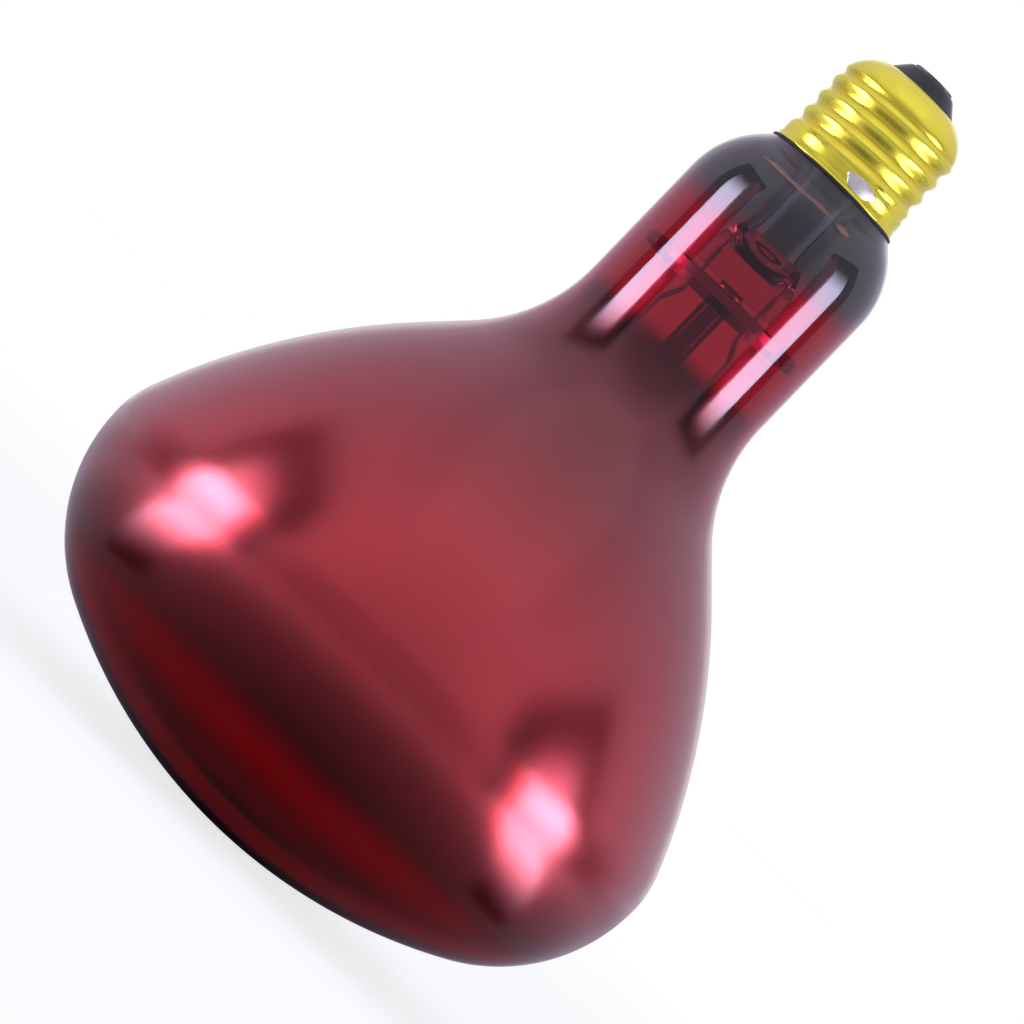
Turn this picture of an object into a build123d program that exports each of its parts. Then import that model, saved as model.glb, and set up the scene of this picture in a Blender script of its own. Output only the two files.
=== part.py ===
"""Reflector bulb: red heat lamp with a blown reflector bulb and a screw cap, millimetres.

The lamp stands on its face with the cap up. Z is the lamp's axis, and the origin is the lowest
point of the face. X runs through the two lead wires.
"""
import os
from math import asin, cos, degrees, radians, sin, sqrt, tan

from build123d import *

os.makedirs("parts", exist_ok=True)

# Bulb outline: tangent arcs from the middle of the face to the neck
bulb_diameter = 125.0
face_radius = 96.0
rim_radius = 32.5
belly_radius = 20.0
belly_turn = 21.5
side_radius = 122.0
taper_angle = 43.8
throat_radius = 30.5
neck_diameter = 40.6
neck_length = 24.9
shoulder_radius = 17.0
shoulder_angle = 44.0
glass_wall = 1.0

# Screw cap
cap_sheet = 0.35
thread_diameter = 26.1
thread_root_diameter = 24.8
lip_diameter = 27.3
lip_edge_height = 0.5
lip_chamfer = 0.2
band_diameter = 26.5
band_height = 3.3
band_foot_rise = 0.7
band_step = 0.3
threaded_height = 14.0
thread_runout = 0.9
dome_height = 4.4
dome_radius = 8.0
insulator_diameter = 14.6
insulator_height = 3.0
insulator_flat_diameter = 9.4
insulator_round = 0.3
insulator_plug_depth = 1.6
contact_diameter = 8.4
contact_sheet = 0.3
contact_chamfer = 0.1
contact_tube_diameter = 4.0
contact_tube_reach = 0.5
solder_height = 0.3
solder_margin = 0.6
solder_plug_depth = 2.0
cement_clearance = 0.1
fit_gap = 0.05

# Stem and filament mount
spigot_diameter = 22.8
spigot_height = 8.0
flare_wall = 1.1
stem_tube_diameter = 13.6
press_width = 18.0
press_thickness = 4.2
press_height = 5.0
stem_length = 33.5
flare_height = 10.0
exhaust_diameter = 5.0
exhaust_bore = 3.0
exhaust_reach = 2.0
arbor_diameter = 5.0
arbor_length = 27.5
button_diameter = 7.8
button_height = 5.0
inner_lead_diameter = 1.0
inner_lead_bend = 2.0
inner_lead_tail = 1.5
outer_lead_diameter = 0.5
centre_wire_bend = 1.0
side_wire_bend = 0.6
press_lead_offset = 6.5
press_joint_depth = 1.0
tube_lead_offset = 4.4
tube_lead_rise = 1.5
lead_splay_offset = 8.4
lead_splay_drop = 4.0
lead_turn_drop = 2.0
lead_foot_rise = 6.0
lead_crossing_rise = 3.6
tip_crossing_rise = 4.0
side_hole_rise = 1.85
side_hole_gap = 0.2
support_diameter = 0.5
support_bend = 1.5
support_reach = 4.0
hook_rise = 3.0
hook_gap = 0.12
coil_diameter = 1.6
corner_round = 2.0
filament_radius = 13.0
filament_below_button = 4.5
filament_gap_angle = 100.0
support_count = 4
shield_diameter = 34.8
shield_sheet = 0.4
shield_rim_height = 2.0
shield_collar_height = 1.2
shield_drop = 2.0
shield_hole_diameter = 3.6
side_solder_azimuth = -74.0
side_solder_length = 8.4
side_solder_thickness = 3.2
side_solder_bulge = 0.45

# Outline positions that follow from the sizes above
bulb_radius = bulb_diameter / 2
neck_radius = neck_diameter / 2
spigot_radius = spigot_diameter / 2
face_turn = degrees(asin((bulb_radius - rim_radius) / (face_radius - rim_radius)))
widest_z = face_radius - sqrt((face_radius - rim_radius) ** 2 - (bulb_radius - rim_radius) ** 2)
belly_drop = belly_radius * (1 - cos(radians(belly_turn)))
side_drop = side_radius * (cos(radians(belly_turn)) - cos(radians(taper_angle)))
throat_drop = throat_radius * (1 - cos(radians(taper_angle)))
taper_drop = bulb_radius - belly_drop - side_drop - throat_drop - neck_radius
taper_length = taper_drop / sin(radians(taper_angle))
belly_rise = belly_radius * sin(radians(belly_turn))
side_rise = side_radius * (sin(radians(taper_angle)) - sin(radians(belly_turn)))
taper_rise = taper_length * cos(radians(taper_angle))
throat_rise = throat_radius * sin(radians(taper_angle))
neck_foot_z = widest_z + belly_rise + side_rise + taper_rise + throat_rise
neck_top_z = neck_foot_z + neck_length
shoulder_end_r = neck_radius - shoulder_radius * (1 - cos(radians(shoulder_angle)))
shoulder_end_z = neck_top_z + shoulder_radius * sin(radians(shoulder_angle))
cone_slope = tan(radians(shoulder_angle))

# Cap levels, from the seat of its lip on the glass cone up to the tip of the solder
band_radius = band_diameter / 2
lip_radius = lip_diameter / 2
root_radius = thread_root_diameter / 2
crest_radius = thread_diameter / 2
band_bore = band_radius - cap_sheet
thread_bore = root_radius - cap_sheet
insulator_radius = insulator_diameter / 2
insulator_flat_radius = insulator_flat_diameter / 2
contact_radius = contact_diameter / 2
cap_seat_z = shoulder_end_z + (shoulder_end_r - band_bore) / cone_slope + fit_gap
band_top_z = cap_seat_z + band_height
thread_top_z = band_top_z + threaded_height
cap_top_z = thread_top_z + dome_height
contact_z = cap_top_z + insulator_height
solder_z = contact_z + contact_sheet
spigot_top_z = cap_seat_z + spigot_height

# Stem and filament levels
flare_rim_z = spigot_top_z + flare_wall
press_foot_z = spigot_top_z - stem_length
press_top_z = press_foot_z + press_height
tube_floor_z = press_top_z + press_height
shield_z = press_foot_z - shield_drop
arbor_foot_z = press_foot_z - arbor_length
button_foot_z = arbor_foot_z - button_height
filament_z = button_foot_z - filament_below_button
inner_lead_radius = inner_lead_diameter / 2
outer_lead_radius = outer_lead_diameter / 2
support_radius = support_diameter / 2
coil_radius = coil_diameter / 2
exhaust_top_z = spigot_top_z + exhaust_reach
lead_crossing_z = spigot_top_z + lead_crossing_rise
side_hole_z = cap_seat_z + side_hole_rise
side_hole_radius = outer_lead_radius + side_hole_gap

# Filament corners: one on each support hook, and an end at each inner lead
first_angle = filament_gap_angle / 2 - 90
last_angle = 270 - filament_gap_angle / 2
corner_step = (last_angle - first_angle) / (support_count + 1)
corner_inset = corner_round * (1 / cos(radians(corner_step / 2)) - 1)
hook_radius = coil_radius + support_radius + hook_gap
hook_centre_r = filament_radius - corner_inset
corner_angles = [first_angle + corner_step * number for number in range(support_count + 2)]
corner_points = []
for angle in corner_angles:
    corner_x = filament_radius * cos(radians(angle))
    corner_y = filament_radius * sin(radians(angle))
    corner_points.append(Vector(corner_x, corner_y, filament_z))
end_gap = inner_lead_radius + fit_gap
first_span = (corner_points[1] - corner_points[0]).normalized()
last_span = (corner_points[-2] - corner_points[-1]).normalized()
coil_points = [corner_points[0] + first_span * end_gap]
coil_points = coil_points + corner_points[1:-1]
coil_points.append(corner_points[-1] + last_span * end_gap)

# Glass bulb: one blown wall, its outline drawn once outside and once inset for the inside
with BuildPart() as glass_bulb:
    with BuildSketch(Plane.XZ):
        with BuildLine():
            chain_starts = []
            chain_ends = []
            for inset in (0.0, glass_wall):
                face_arc = JernArc((0, inset), (1, 0), face_radius - inset, face_turn)
                rim_arc = JernArc(face_arc @ 1, face_arc % 1, rim_radius - inset, 90 - face_turn)
                belly_arc = JernArc(rim_arc @ 1, rim_arc % 1, belly_radius - inset, belly_turn)
                side_arc = JernArc(
                    belly_arc @ 1, belly_arc % 1, side_radius - inset, taper_angle - belly_turn
                )
                taper = Line(side_arc @ 1, (side_arc @ 1) + (side_arc % 1) * taper_length)
                throat_arc = JernArc(taper @ 1, taper % 1, throat_radius + inset, -taper_angle)
                neck = Line(throat_arc @ 1, (neck_radius - inset, neck_top_z))
                shoulder_arc = JernArc(neck @ 1, (0, 1), shoulder_radius - inset, shoulder_angle)
                spigot_r = spigot_radius - inset
                cone_rise = ((shoulder_arc @ 1).X - spigot_r) / cone_slope
                cone = Line(shoulder_arc @ 1, (spigot_r, (shoulder_arc @ 1).Y + cone_rise))
                spigot = Line(cone @ 1, (spigot_r, spigot_top_z))
                chain_starts.append(face_arc @ 0)
                chain_ends.append(spigot @ 1)
            Line(chain_starts[0], chain_starts[1])
            Line(chain_ends[0], chain_ends[1])
        make_face()
    revolve(axis=Axis.Z)
glass_bulb.part.label = "glass_bulb"
export_step(glass_bulb.part, "parts/glass_bulb.step")

# Screw shell: drawn brass cup, its threaded stretch plain here at the thread's crest diameter
lip_edge_r = lip_radius - lip_chamfer
lip_foot_z = cap_seat_z - (lip_edge_r - band_bore) / cone_slope
runout_z = thread_top_z - thread_runout
crown_r = insulator_radius + fit_gap
crown_foot_z = cap_top_z - cap_sheet
dome_bore_radius = dome_radius - cap_sheet
side_plane = Plane(
    origin=(0, 0, side_hole_z),
    x_dir=(-sin(radians(side_solder_azimuth)), cos(radians(side_solder_azimuth)), 0),
    z_dir=(cos(radians(side_solder_azimuth)), sin(radians(side_solder_azimuth)), 0),
)
with BuildPart() as screw_shell:
    with BuildSketch(Plane.XZ):
        with BuildLine():
            lip_foot = Line((band_bore, cap_seat_z), (lip_edge_r, lip_foot_z))
            lip = Polyline(
                lip_foot @ 1,
                (lip_radius, lip_foot_z + lip_chamfer),
                (lip_radius, lip_foot_z + lip_edge_height),
                (band_radius, cap_seat_z + band_foot_rise),
                (band_radius, band_top_z - band_step),
                (crest_radius, band_top_z),
                (crest_radius, runout_z),
                (root_radius, thread_top_z),
            )
            dome = RadiusArc(lip @ 1, (crown_r, cap_top_z), -dome_radius)
            crown = Line(dome @ 1, (crown_r, crown_foot_z))
            dome_bore = RadiusArc(crown @ 1, (thread_bore, thread_top_z), dome_bore_radius)
            Polyline(
                dome_bore @ 1,
                (thread_bore, band_top_z),
                (band_bore, band_top_z - cap_sheet - band_step),
                lip_foot @ 0,
            )
        make_face()
    revolve(axis=Axis.Z)
    with BuildSketch(side_plane):
        Circle(side_hole_radius)
    extrude(amount=lip_diameter, mode=Mode.SUBTRACT)
screw_shell.part.label = "screw_shell"
export_step(screw_shell.part, "parts/screw_shell.step")

# Insulator: black glass moulded into the top of the shell, bored for the contact tube
plug_foot_z = thread_top_z - insulator_plug_depth
contact_tube_radius = contact_tube_diameter / 2
contact_hole_radius = contact_tube_radius + fit_gap
with BuildPart() as insulator:
    with BuildSketch(Plane.XZ):
        with BuildLine():
            plug_side = Polyline(
                (contact_hole_radius, contact_z),
                (contact_hole_radius, plug_foot_z),
                (thread_bore - fit_gap, plug_foot_z),
                (thread_bore - fit_gap, thread_top_z - fit_gap),
            )
            plug_crown = (insulator_radius, crown_foot_z - fit_gap)
            plug_dome = RadiusArc(plug_side @ 1, plug_crown, fit_gap - dome_bore_radius)
            Polyline(
                plug_dome @ 1,
                (insulator_radius, cap_top_z),
                (insulator_flat_radius, contact_z),
                plug_side @ 0,
            )
        make_face()
    revolve(axis=Axis.Z)
    top_edges = insulator.edges().filter_by(GeomType.CIRCLE).group_by(Axis.Z)[-1]
    fillet(top_edges.sort_by(SortBy.RADIUS)[-1], radius=insulator_round)
insulator.part.label = "insulator"
export_step(insulator.part, "parts/insulator.step")

# Centre contact: brass eyelet with a flat head and a tube down through the insulator
contact_bore = contact_tube_radius - contact_sheet
with BuildPart() as centre_contact:
    with BuildSketch(Plane.XZ):
        with BuildLine():
            Polyline(
                (contact_bore, plug_foot_z - contact_tube_reach),
                (contact_tube_radius, plug_foot_z - contact_tube_reach),
                (contact_tube_radius, contact_z),
                (contact_radius, contact_z),
                (contact_radius, solder_z - contact_chamfer),
                (contact_radius - contact_chamfer, solder_z),
                (contact_bore, solder_z),
                close=True,
            )
        make_face()
    revolve(axis=Axis.Z)
centre_contact.part.label = "centre_contact"
export_step(centre_contact.part, "parts/centre_contact.step")

# Contact solder: low dome on the eyelet with a plug down its tube
solder_radius = contact_radius - solder_margin
solder_sphere = (solder_radius**2 + solder_height**2) / (2 * solder_height)
solder_plug_z = contact_z - solder_plug_depth
with BuildPart() as contact_solder:
    with BuildSketch(Plane.XZ):
        with BuildLine():
            plug = Polyline(
                (0, solder_z + solder_height),
                (0, solder_plug_z),
                (contact_bore, solder_plug_z),
                (contact_bore, solder_z),
                (solder_radius, solder_z),
            )
            RadiusArc(plug @ 1, plug @ 0, -solder_sphere)
        make_face()
    revolve(axis=Axis.Z)
contact_solder.part.label = "contact_solder"
export_step(contact_solder.part, "parts/contact_solder.step")

# Side solder: flattened bead on the cap's plain band, over the hole of the side wire
bead_half_length = side_solder_length / 2
bead_half_thickness = side_solder_thickness / 2
bead_centre_r = band_radius + side_solder_bulge - bead_half_thickness
bead_plane = Plane(
    origin=side_plane.origin + side_plane.z_dir * bead_centre_r,
    x_dir=side_plane.x_dir,
    z_dir=(0, 0, 1),
)
with BuildPart() as side_solder:
    with BuildSketch(bead_plane):
        with BuildLine():
            bead_arc = EllipticalCenterArc(
                (0, 0), bead_half_length, bead_half_thickness, start_angle=0, arc_size=180
            )
            Line(bead_arc @ 1, bead_arc @ 0)
        make_face()
    revolve(axis=Axis(bead_plane.origin, bead_plane.x_dir))
    with Locations((0, 0, side_hole_z)):
        Cylinder(band_radius, side_solder_thickness, mode=Mode.SUBTRACT)
side_solder.part.label = "side_solder"
export_step(side_solder.part, "parts/side_solder.step")

# Lead wires: a heavy inner run to the filament and a thin outer run to each contact
def radial_point(angle, radius, z):
    """A point at an angle round the lamp's axis."""
    return Vector(radius * cos(radians(angle)), radius * sin(radians(angle)), z)


def sweep_wire(points, bend, diameter):
    """Add a round wire along points, with its corners rounded."""
    with BuildLine() as route:
        FilletPolyline(*points, radius=bend)
    with BuildSketch(Plane(origin=route.line @ 0, z_dir=route.line % 0)) as section:
        Circle(diameter / 2)
    sweep(sections=section.sketch, path=route.line)


lead_joint_z = press_top_z - press_joint_depth
lead_foot_z = press_top_z + outer_lead_diameter
tube_entry_z = tube_floor_z + tube_lead_rise
splay_z = shield_z - lead_splay_drop
splay_end_z = splay_z - lead_splay_drop
inner_leads = []
for side, end_point in ((1, corner_points[0]), (-1, corner_points[-1])):
    with BuildPart() as inner_lead:
        sweep_wire(
            [
                (side * press_lead_offset, 0, lead_joint_z),
                (side * press_lead_offset, 0, splay_z),
                (side * lead_splay_offset, 0, splay_end_z),
                (side * lead_splay_offset, 0, arbor_foot_z + lead_turn_drop),
                (end_point.X, end_point.Y, filament_z + lead_foot_rise),
                (end_point.X, end_point.Y, filament_z - inner_lead_tail),
            ],
            inner_lead_bend,
            inner_lead_diameter,
        )
    inner_lead.part.label = "inner_lead_right" if side == 1 else "inner_lead_left"
    export_step(inner_lead.part, f"parts/{inner_lead.part.label}.step")
    inner_leads.append(inner_lead.part)

with BuildPart() as centre_wire:
    sweep_wire(
        [
            (-press_lead_offset, 0, lead_joint_z),
            (-press_lead_offset, 0, lead_foot_z),
            (-tube_lead_offset, 0, tube_entry_z),
            (-tube_lead_offset, 0, exhaust_top_z - centre_wire_bend),
            (0, 0, exhaust_top_z + tip_crossing_rise),
            (0, 0, solder_plug_z),
        ],
        centre_wire_bend,
        outer_lead_diameter,
    )
centre_wire.part.label = "centre_wire"
export_step(centre_wire.part, "parts/centre_wire.step")

side_wire_r = (spigot_radius + thread_bore) / 2
with BuildPart() as side_wire:
    sweep_wire(
        [
            (press_lead_offset, 0, lead_joint_z),
            (press_lead_offset, 0, lead_foot_z),
            (tube_lead_offset, 0, tube_entry_z),
            (tube_lead_offset, 0, lead_crossing_z),
            radial_point(side_solder_azimuth, side_wire_r, lead_crossing_z),
            radial_point(side_solder_azimuth, side_wire_r, side_hole_z),
            radial_point(side_solder_azimuth, band_radius, side_hole_z),
        ],
        side_wire_bend,
        outer_lead_diameter,
    )
side_wire.part.label = "side_wire"
export_step(side_wire.part, "parts/side_wire.step")

# Cement: ring that bonds the cap to the glass spigot, cast round the side wire
cement_inner_r = spigot_radius + fit_gap
cement_outer_r = band_bore - fit_gap
cement_upper_r = thread_bore - fit_gap
cement_top_z = spigot_top_z - side_wire_bend
cement_outer_z = shoulder_end_z + (shoulder_end_r - cement_outer_r) / cone_slope + cement_clearance
cement_inner_z = shoulder_end_z + (shoulder_end_r - cement_inner_r) / cone_slope + cement_clearance
with BuildPart() as cement:
    with BuildSketch(Plane.XZ):
        with BuildLine():
            Polyline(
                (cement_outer_r, cement_outer_z),
                (cement_outer_r, band_top_z - cap_sheet - band_step - cement_clearance),
                (cement_upper_r, band_top_z - cement_clearance),
                (cement_upper_r, cement_top_z),
                (cement_inner_r, cement_top_z),
                (cement_inner_r, cement_inner_z),
                close=True,
            )
        make_face()
    revolve(axis=Axis.Z)
    add(side_wire.part, mode=Mode.SUBTRACT)
cement.part.label = "cement"
export_step(cement.part, "parts/cement.step")

# Stem: glass flare on the spigot's end, its tube flattened into the press that seals the wires
tube_radius = stem_tube_diameter / 2
tube_bore = tube_radius - flare_wall
flare_bore_r = spigot_radius - glass_wall - fit_gap
flare_foot_z = spigot_top_z - flare_height
with BuildPart() as stem:
    with BuildSketch(Plane.XZ):
        with BuildLine():
            Polyline(
                (tube_radius, tube_floor_z),
                (tube_radius, flare_foot_z),
                (flare_bore_r, spigot_top_z),
                (spigot_radius, spigot_top_z),
                (spigot_radius, flare_rim_z),
                (flare_bore_r - flare_wall, flare_rim_z),
                (tube_bore, flare_foot_z),
                (tube_bore, tube_floor_z),
                close=True,
            )
        make_face()
    revolve(axis=Axis.Z)
    with BuildSketch(Plane.XY.offset(tube_floor_z)):
        Circle(tube_radius)
    with BuildSketch(Plane.XY.offset(press_top_z)):
        SlotOverall(press_width, press_thickness)
    loft()
    with BuildSketch(Plane.XY.offset(press_foot_z)):
        SlotOverall(press_width, press_thickness)
    extrude(amount=press_height)
    for lead in inner_leads + [centre_wire.part, side_wire.part]:
        add(lead, mode=Mode.SUBTRACT)
stem.part.label = "stem"
export_step(stem.part, "parts/stem.step")

# Exhaust tube: drawn glass tube on the press, sealed off with a rounded tip inside the cap
exhaust_radius = exhaust_diameter / 2
exhaust_bore_radius = exhaust_bore / 2
with BuildPart() as exhaust_tube:
    with BuildSketch(Plane.XZ):
        with BuildLine():
            tube = Polyline(
                (0, exhaust_top_z - exhaust_bore_radius),
                (exhaust_bore_radius, exhaust_top_z - exhaust_radius - exhaust_bore_radius),
                (exhaust_bore_radius, tube_floor_z),
                (exhaust_radius, tube_floor_z),
                (exhaust_radius, exhaust_top_z - exhaust_radius),
            )
            tip = JernArc(tube @ 1, (0, 1), exhaust_radius, 90)
            Line(tip @ 1, tube @ 0)
        make_face()
    revolve(axis=Axis.Z)
exhaust_tube.part.label = "exhaust_tube"
export_step(exhaust_tube.part, "parts/exhaust_tube.step")

# Arbor: glass rod under the press, ending in the button that holds the filament supports
button_radius = button_diameter / 2
button_mid_z = button_foot_z + button_height / 2
with BuildPart() as arbor:
    with BuildSketch(Plane.XY.offset(arbor_foot_z)):
        Circle(arbor_diameter / 2)
    extrude(amount=press_foot_z - arbor_foot_z)
    with BuildSketch(Plane.XZ):
        with BuildLine():
            button_top = Line((0, arbor_foot_z), (arbor_diameter / 2, arbor_foot_z))
            button_foot = Line((arbor_diameter / 2, button_foot_z), (0, button_foot_z))
            ThreePointArc(button_top @ 1, (button_radius, button_mid_z), button_foot @ 0)
            Line(button_foot @ 1, button_top @ 0)
        make_face()
    revolve(axis=Axis.Z)
arbor.part.label = "arbor"
export_step(arbor.part, "parts/arbor.step")

# Heat shield: shallow metal dish on the arbor, holed clear of the two leads
shield_radius = shield_diameter / 2
collar_bore = arbor_diameter / 2 + fit_gap
with BuildPart() as heat_shield:
    with BuildSketch(Plane.XZ):
        with BuildLine():
            Polyline(
                (collar_bore, shield_z - shield_sheet),
                (shield_radius - shield_sheet, shield_z - shield_sheet),
                (shield_radius - shield_sheet, shield_z - shield_rim_height),
                (shield_radius, shield_z - shield_rim_height),
                (shield_radius, shield_z - shield_sheet),
                (shield_radius - shield_sheet, shield_z),
                (collar_bore + shield_sheet, shield_z),
                (collar_bore + shield_sheet, shield_z + shield_collar_height),
                (collar_bore, shield_z + shield_collar_height),
                close=True,
            )
        make_face()
    revolve(axis=Axis.Z)
    with BuildSketch(Plane.XY.offset(shield_z)):
        with Locations((press_lead_offset, 0), (-press_lead_offset, 0)):
            Circle(shield_hole_diameter / 2)
    extrude(amount=-shield_rim_height, mode=Mode.SUBTRACT)
heat_shield.part.label = "heat_shield"
export_step(heat_shield.part, "parts/heat_shield.step")

# Support wires: from the button out to an open hook under each corner of the filament
for number, angle in enumerate(corner_angles[1:-1], start=1):
    hook_side = radial_point(angle, hook_centre_r + hook_radius, filament_z)
    hook_foot = radial_point(angle, hook_centre_r, filament_z - hook_radius)
    hook_tip = radial_point(angle, hook_centre_r - hook_radius, filament_z)
    with BuildPart() as support_wire:
        with BuildLine() as support_route:
            FilletPolyline(
                radial_point(angle, button_radius, button_mid_z),
                radial_point(angle, button_radius + support_reach, button_mid_z),
                radial_point(angle, hook_centre_r + hook_radius, filament_z + hook_rise),
                hook_side,
                radius=support_bend,
            )
            ThreePointArc(hook_side, hook_foot, hook_tip)
        with BuildSketch(Plane(origin=support_route.line @ 0, z_dir=support_route.line % 0)):
            Circle(support_radius)
        sweep(path=support_route.line)
    support_wire.part.label = f"support_wire_{number}"
    export_step(support_wire.part, f"parts/support_wire_{number}.step")

# Filament: coiled tungsten, drawn as the round outline that its coil fills
with BuildPart() as filament:
    sweep_wire(coil_points, corner_round, coil_diameter)
filament.part.label = "filament"
export_step(filament.part, "parts/filament.step")
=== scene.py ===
"""Red reflector heat lamp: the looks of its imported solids, laid out as an add-on and run as a script."""
import math

import bmesh
import bpy
from bpy.props import FloatProperty, FloatVectorProperty, IntProperty, PointerProperty
from mathutils import Matrix, Vector


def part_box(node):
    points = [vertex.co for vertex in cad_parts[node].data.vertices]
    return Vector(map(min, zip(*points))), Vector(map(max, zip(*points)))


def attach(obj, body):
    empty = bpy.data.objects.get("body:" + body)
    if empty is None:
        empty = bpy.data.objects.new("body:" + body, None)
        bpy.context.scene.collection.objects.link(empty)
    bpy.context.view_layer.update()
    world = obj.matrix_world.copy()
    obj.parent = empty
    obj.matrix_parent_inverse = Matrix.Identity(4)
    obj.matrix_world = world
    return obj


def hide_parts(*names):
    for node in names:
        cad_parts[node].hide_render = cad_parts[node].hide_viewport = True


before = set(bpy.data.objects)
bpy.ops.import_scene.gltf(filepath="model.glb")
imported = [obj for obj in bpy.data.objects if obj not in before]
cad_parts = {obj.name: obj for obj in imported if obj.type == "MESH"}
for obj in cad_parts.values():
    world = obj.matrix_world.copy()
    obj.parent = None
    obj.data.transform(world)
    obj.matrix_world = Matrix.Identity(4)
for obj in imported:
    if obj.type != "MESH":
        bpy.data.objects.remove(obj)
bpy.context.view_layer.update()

bl_info = {
    "name": "Reflector heat lamp",
    "version": (1, 0, 0),
    "blender": (4, 5, 0),
    "location": "View3D > Sidebar > Heat lamp",
    "description": "Builds the glass, cap, filament and finishes of a red reflector heat lamp",
    "category": "Object",
}

MM = 0.001
BODY = "root"

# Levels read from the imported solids
SHELL_LOW, SHELL_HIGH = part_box("screw_shell")
INSULATOR_LOW, INSULATOR_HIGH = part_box("insulator")
CONTACT_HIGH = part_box("centre_contact")[1]
SOLDER_LOW, SOLDER_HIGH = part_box("contact_solder")
FILAMENT_LOW, FILAMENT_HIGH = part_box("filament")
BULB_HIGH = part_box("glass_bulb")[1]

# Points closer than this count as one
SAME_PLACE = 1e-7


def length(name, default, description):
    """A size in metres that a user would change."""
    return FloatProperty(
        name=name, description=description, default=default, min=0.0, unit="LENGTH", precision=5
    )


def angle(name, default_degrees, description):
    """An angle that a user would change."""
    return FloatProperty(
        name=name, description=description, default=math.radians(default_degrees), unit="ROTATION"
    )


def colour(name, default, description):
    """A linear colour that a user would change."""
    return FloatVectorProperty(
        name=name, description=description, default=default, subtype="COLOR", size=3, min=0.0, max=1.0
    )


def light_level(name, default, description):
    """A brightness that a user would change."""
    return FloatProperty(name=name, description=description, default=default, min=0.0)


class BulbSettings(bpy.types.PropertyGroup):
    """Outline of the blown glass and reach of its coatings"""

    face_radius: length("Face radius", 96.0 * MM, "Radius of the domed face")
    rim_radius: length("Rim radius", 32.5 * MM, "Round between face and widest ring")
    belly_radius: length("Belly radius", 20.0 * MM, "Round just above the widest ring")
    belly_turn: angle("Belly turn", 21.5, "Angle the belly round turns through")
    side_radius: length("Side radius", 122.0 * MM, "Long round of the reflector side")
    taper_angle: angle("Taper angle", 43.8, "Steepest lean of the side from the axis")
    throat_radius: length("Throat radius", 30.5 * MM, "Hollow round between side and neck")
    neck_radius: length("Neck radius", 20.3 * MM, "Radius of the neck")
    neck_length: length("Neck length", 24.9 * MM, "Straight stretch of the neck")
    shoulder_radius: length("Shoulder radius", 17.0 * MM, "Round at the top of the neck")
    shoulder_angle: angle("Shoulder angle", 44.0, "Lean of the cone under the cap")
    spigot_radius: length("Spigot radius", 11.4 * MM, "Radius of the glass inside the cap")
    wall: length("Wall", 1.0 * MM, "Thickness of the glass")
    film_gap: length("Film gap", 0.03 * MM, "Space between glass and reflector film")
    film_thickness: length("Film thickness", 0.1 * MM, "Drawn thickness of the reflector film")
    film_foot: length("Film foot", 22.0 * MM, "Lower edge of the reflector film")
    film_top: length("Film top", 118.0 * MM, "Upper edge of the reflector film")
    film_fade: length("Film fade", 5.0 * MM, "Stretch over which the film thins out")
    stain_top: length("Stain top", 138.0 * MM, "Level where the red stain ends on the neck")
    segments: IntProperty(name="Segments", description="Facets round the glass", default=176, min=32, max=256)


class CapSettings(bpy.types.PropertyGroup):
    """Screw cap: rolled thread and sheet"""

    sheet: length("Sheet", 0.35 * MM, "Thickness of the brass")
    pitch: length("Pitch", 3.629 * MM, "Rise of the thread in one turn")
    crest_radius: length("Crest radius", 13.05 * MM, "Radius over the thread's crests")
    root_radius: length("Root radius", 12.3 * MM, "Radius at the thread's roots")
    crest_level: length("Crest level", 159.25 * MM, "Height of the first crest over the X axis")
    lip_radius: length("Lip radius", 13.65 * MM, "Radius of the flared lip")
    lip_height: length("Lip height", 1.27 * MM, "From the foot of the lip to the foot of the plain band")
    band_radius: length("Band radius", 13.25 * MM, "Radius of the plain band")
    band_top: length("Band top", 3.55 * MM, "From the foot of the lip to the top of the plain band")
    dome_height: length("Dome height", 4.4 * MM, "Height of the dome over the thread")
    dome_radius: length("Dome radius", 8.0 * MM, "Round of the dome that closes the shell")
    nose_radius: length("Nose radius", 7.3 * MM, "Radius of the black glass where it leaves the shell")
    nose_flat: length("Nose flat", 4.7 * MM, "Radius of the flat end of the black glass")
    nose_round: length("Nose round", 1.8 * MM, "Round at the edge of that flat")
    contact_hole: length("Contact hole", 2.05 * MM, "Radius of the hole for the contact's tube")
    fit_gap: length("Fit gap", 0.05 * MM, "Space between the black glass and the shell")
    segments: IntProperty(name="Segments", description="Facets round the cap", default=192, min=32, max=256)
    solder_azimuth: angle("Solder azimuth", -74.0, "Direction of the side solder from the X axis")
    solder_width: length("Solder width", 7.6 * MM, "Length of the side solder round the cap")
    solder_foot: length("Solder foot", 0.65 * MM, "Lower edge of the side solder over the foot of the lip")
    solder_top: length("Solder top", 3.75 * MM, "Upper edge of the side solder over the foot of the lip")
    solder_bulge: length("Solder bulge", 0.4 * MM, "How far the side solder stands out")
    # Painted shade: a near-black ring under the lip stands in for the shadowed gap between lip and glass
    lip_shade_radius: length("Seal radius", 13.95 * MM, "Radius of the dark cement that shows under the lip")
    lip_shade_depth: length("Seal depth", 0.5 * MM, "How far that cement reaches down the glass")
    bead_level: length("Bead level", 148.7 * MM, "Height of the cement smear on the glass")


class FilamentSettings(bpy.types.PropertyGroup):
    """Coiled filament held on its supports"""

    ring_radius: length("Ring radius", 13.0 * MM, "Radius of the corners of the filament")
    corner_round: length("Corner round", 2.0 * MM, "Bend of the coil at each support")
    gap_angle: angle("Gap angle", 100.0, "Opening between the two ends")
    supports: IntProperty(name="Supports", description="Hooks that carry the coil", default=4, min=1, max=8)
    end_gap: length("End gap", 0.55 * MM, "Distance from a lead's middle to the end of the coil")
    coil_radius: length("Coil radius", 0.68 * MM, "Radius of the coil's centre line")
    wire_radius: length("Wire radius", 0.11 * MM, "Radius of the tungsten wire")
    turns: IntProperty(name="Turns", description="Turns in the whole coil", default=104, min=10, max=200)


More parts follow.
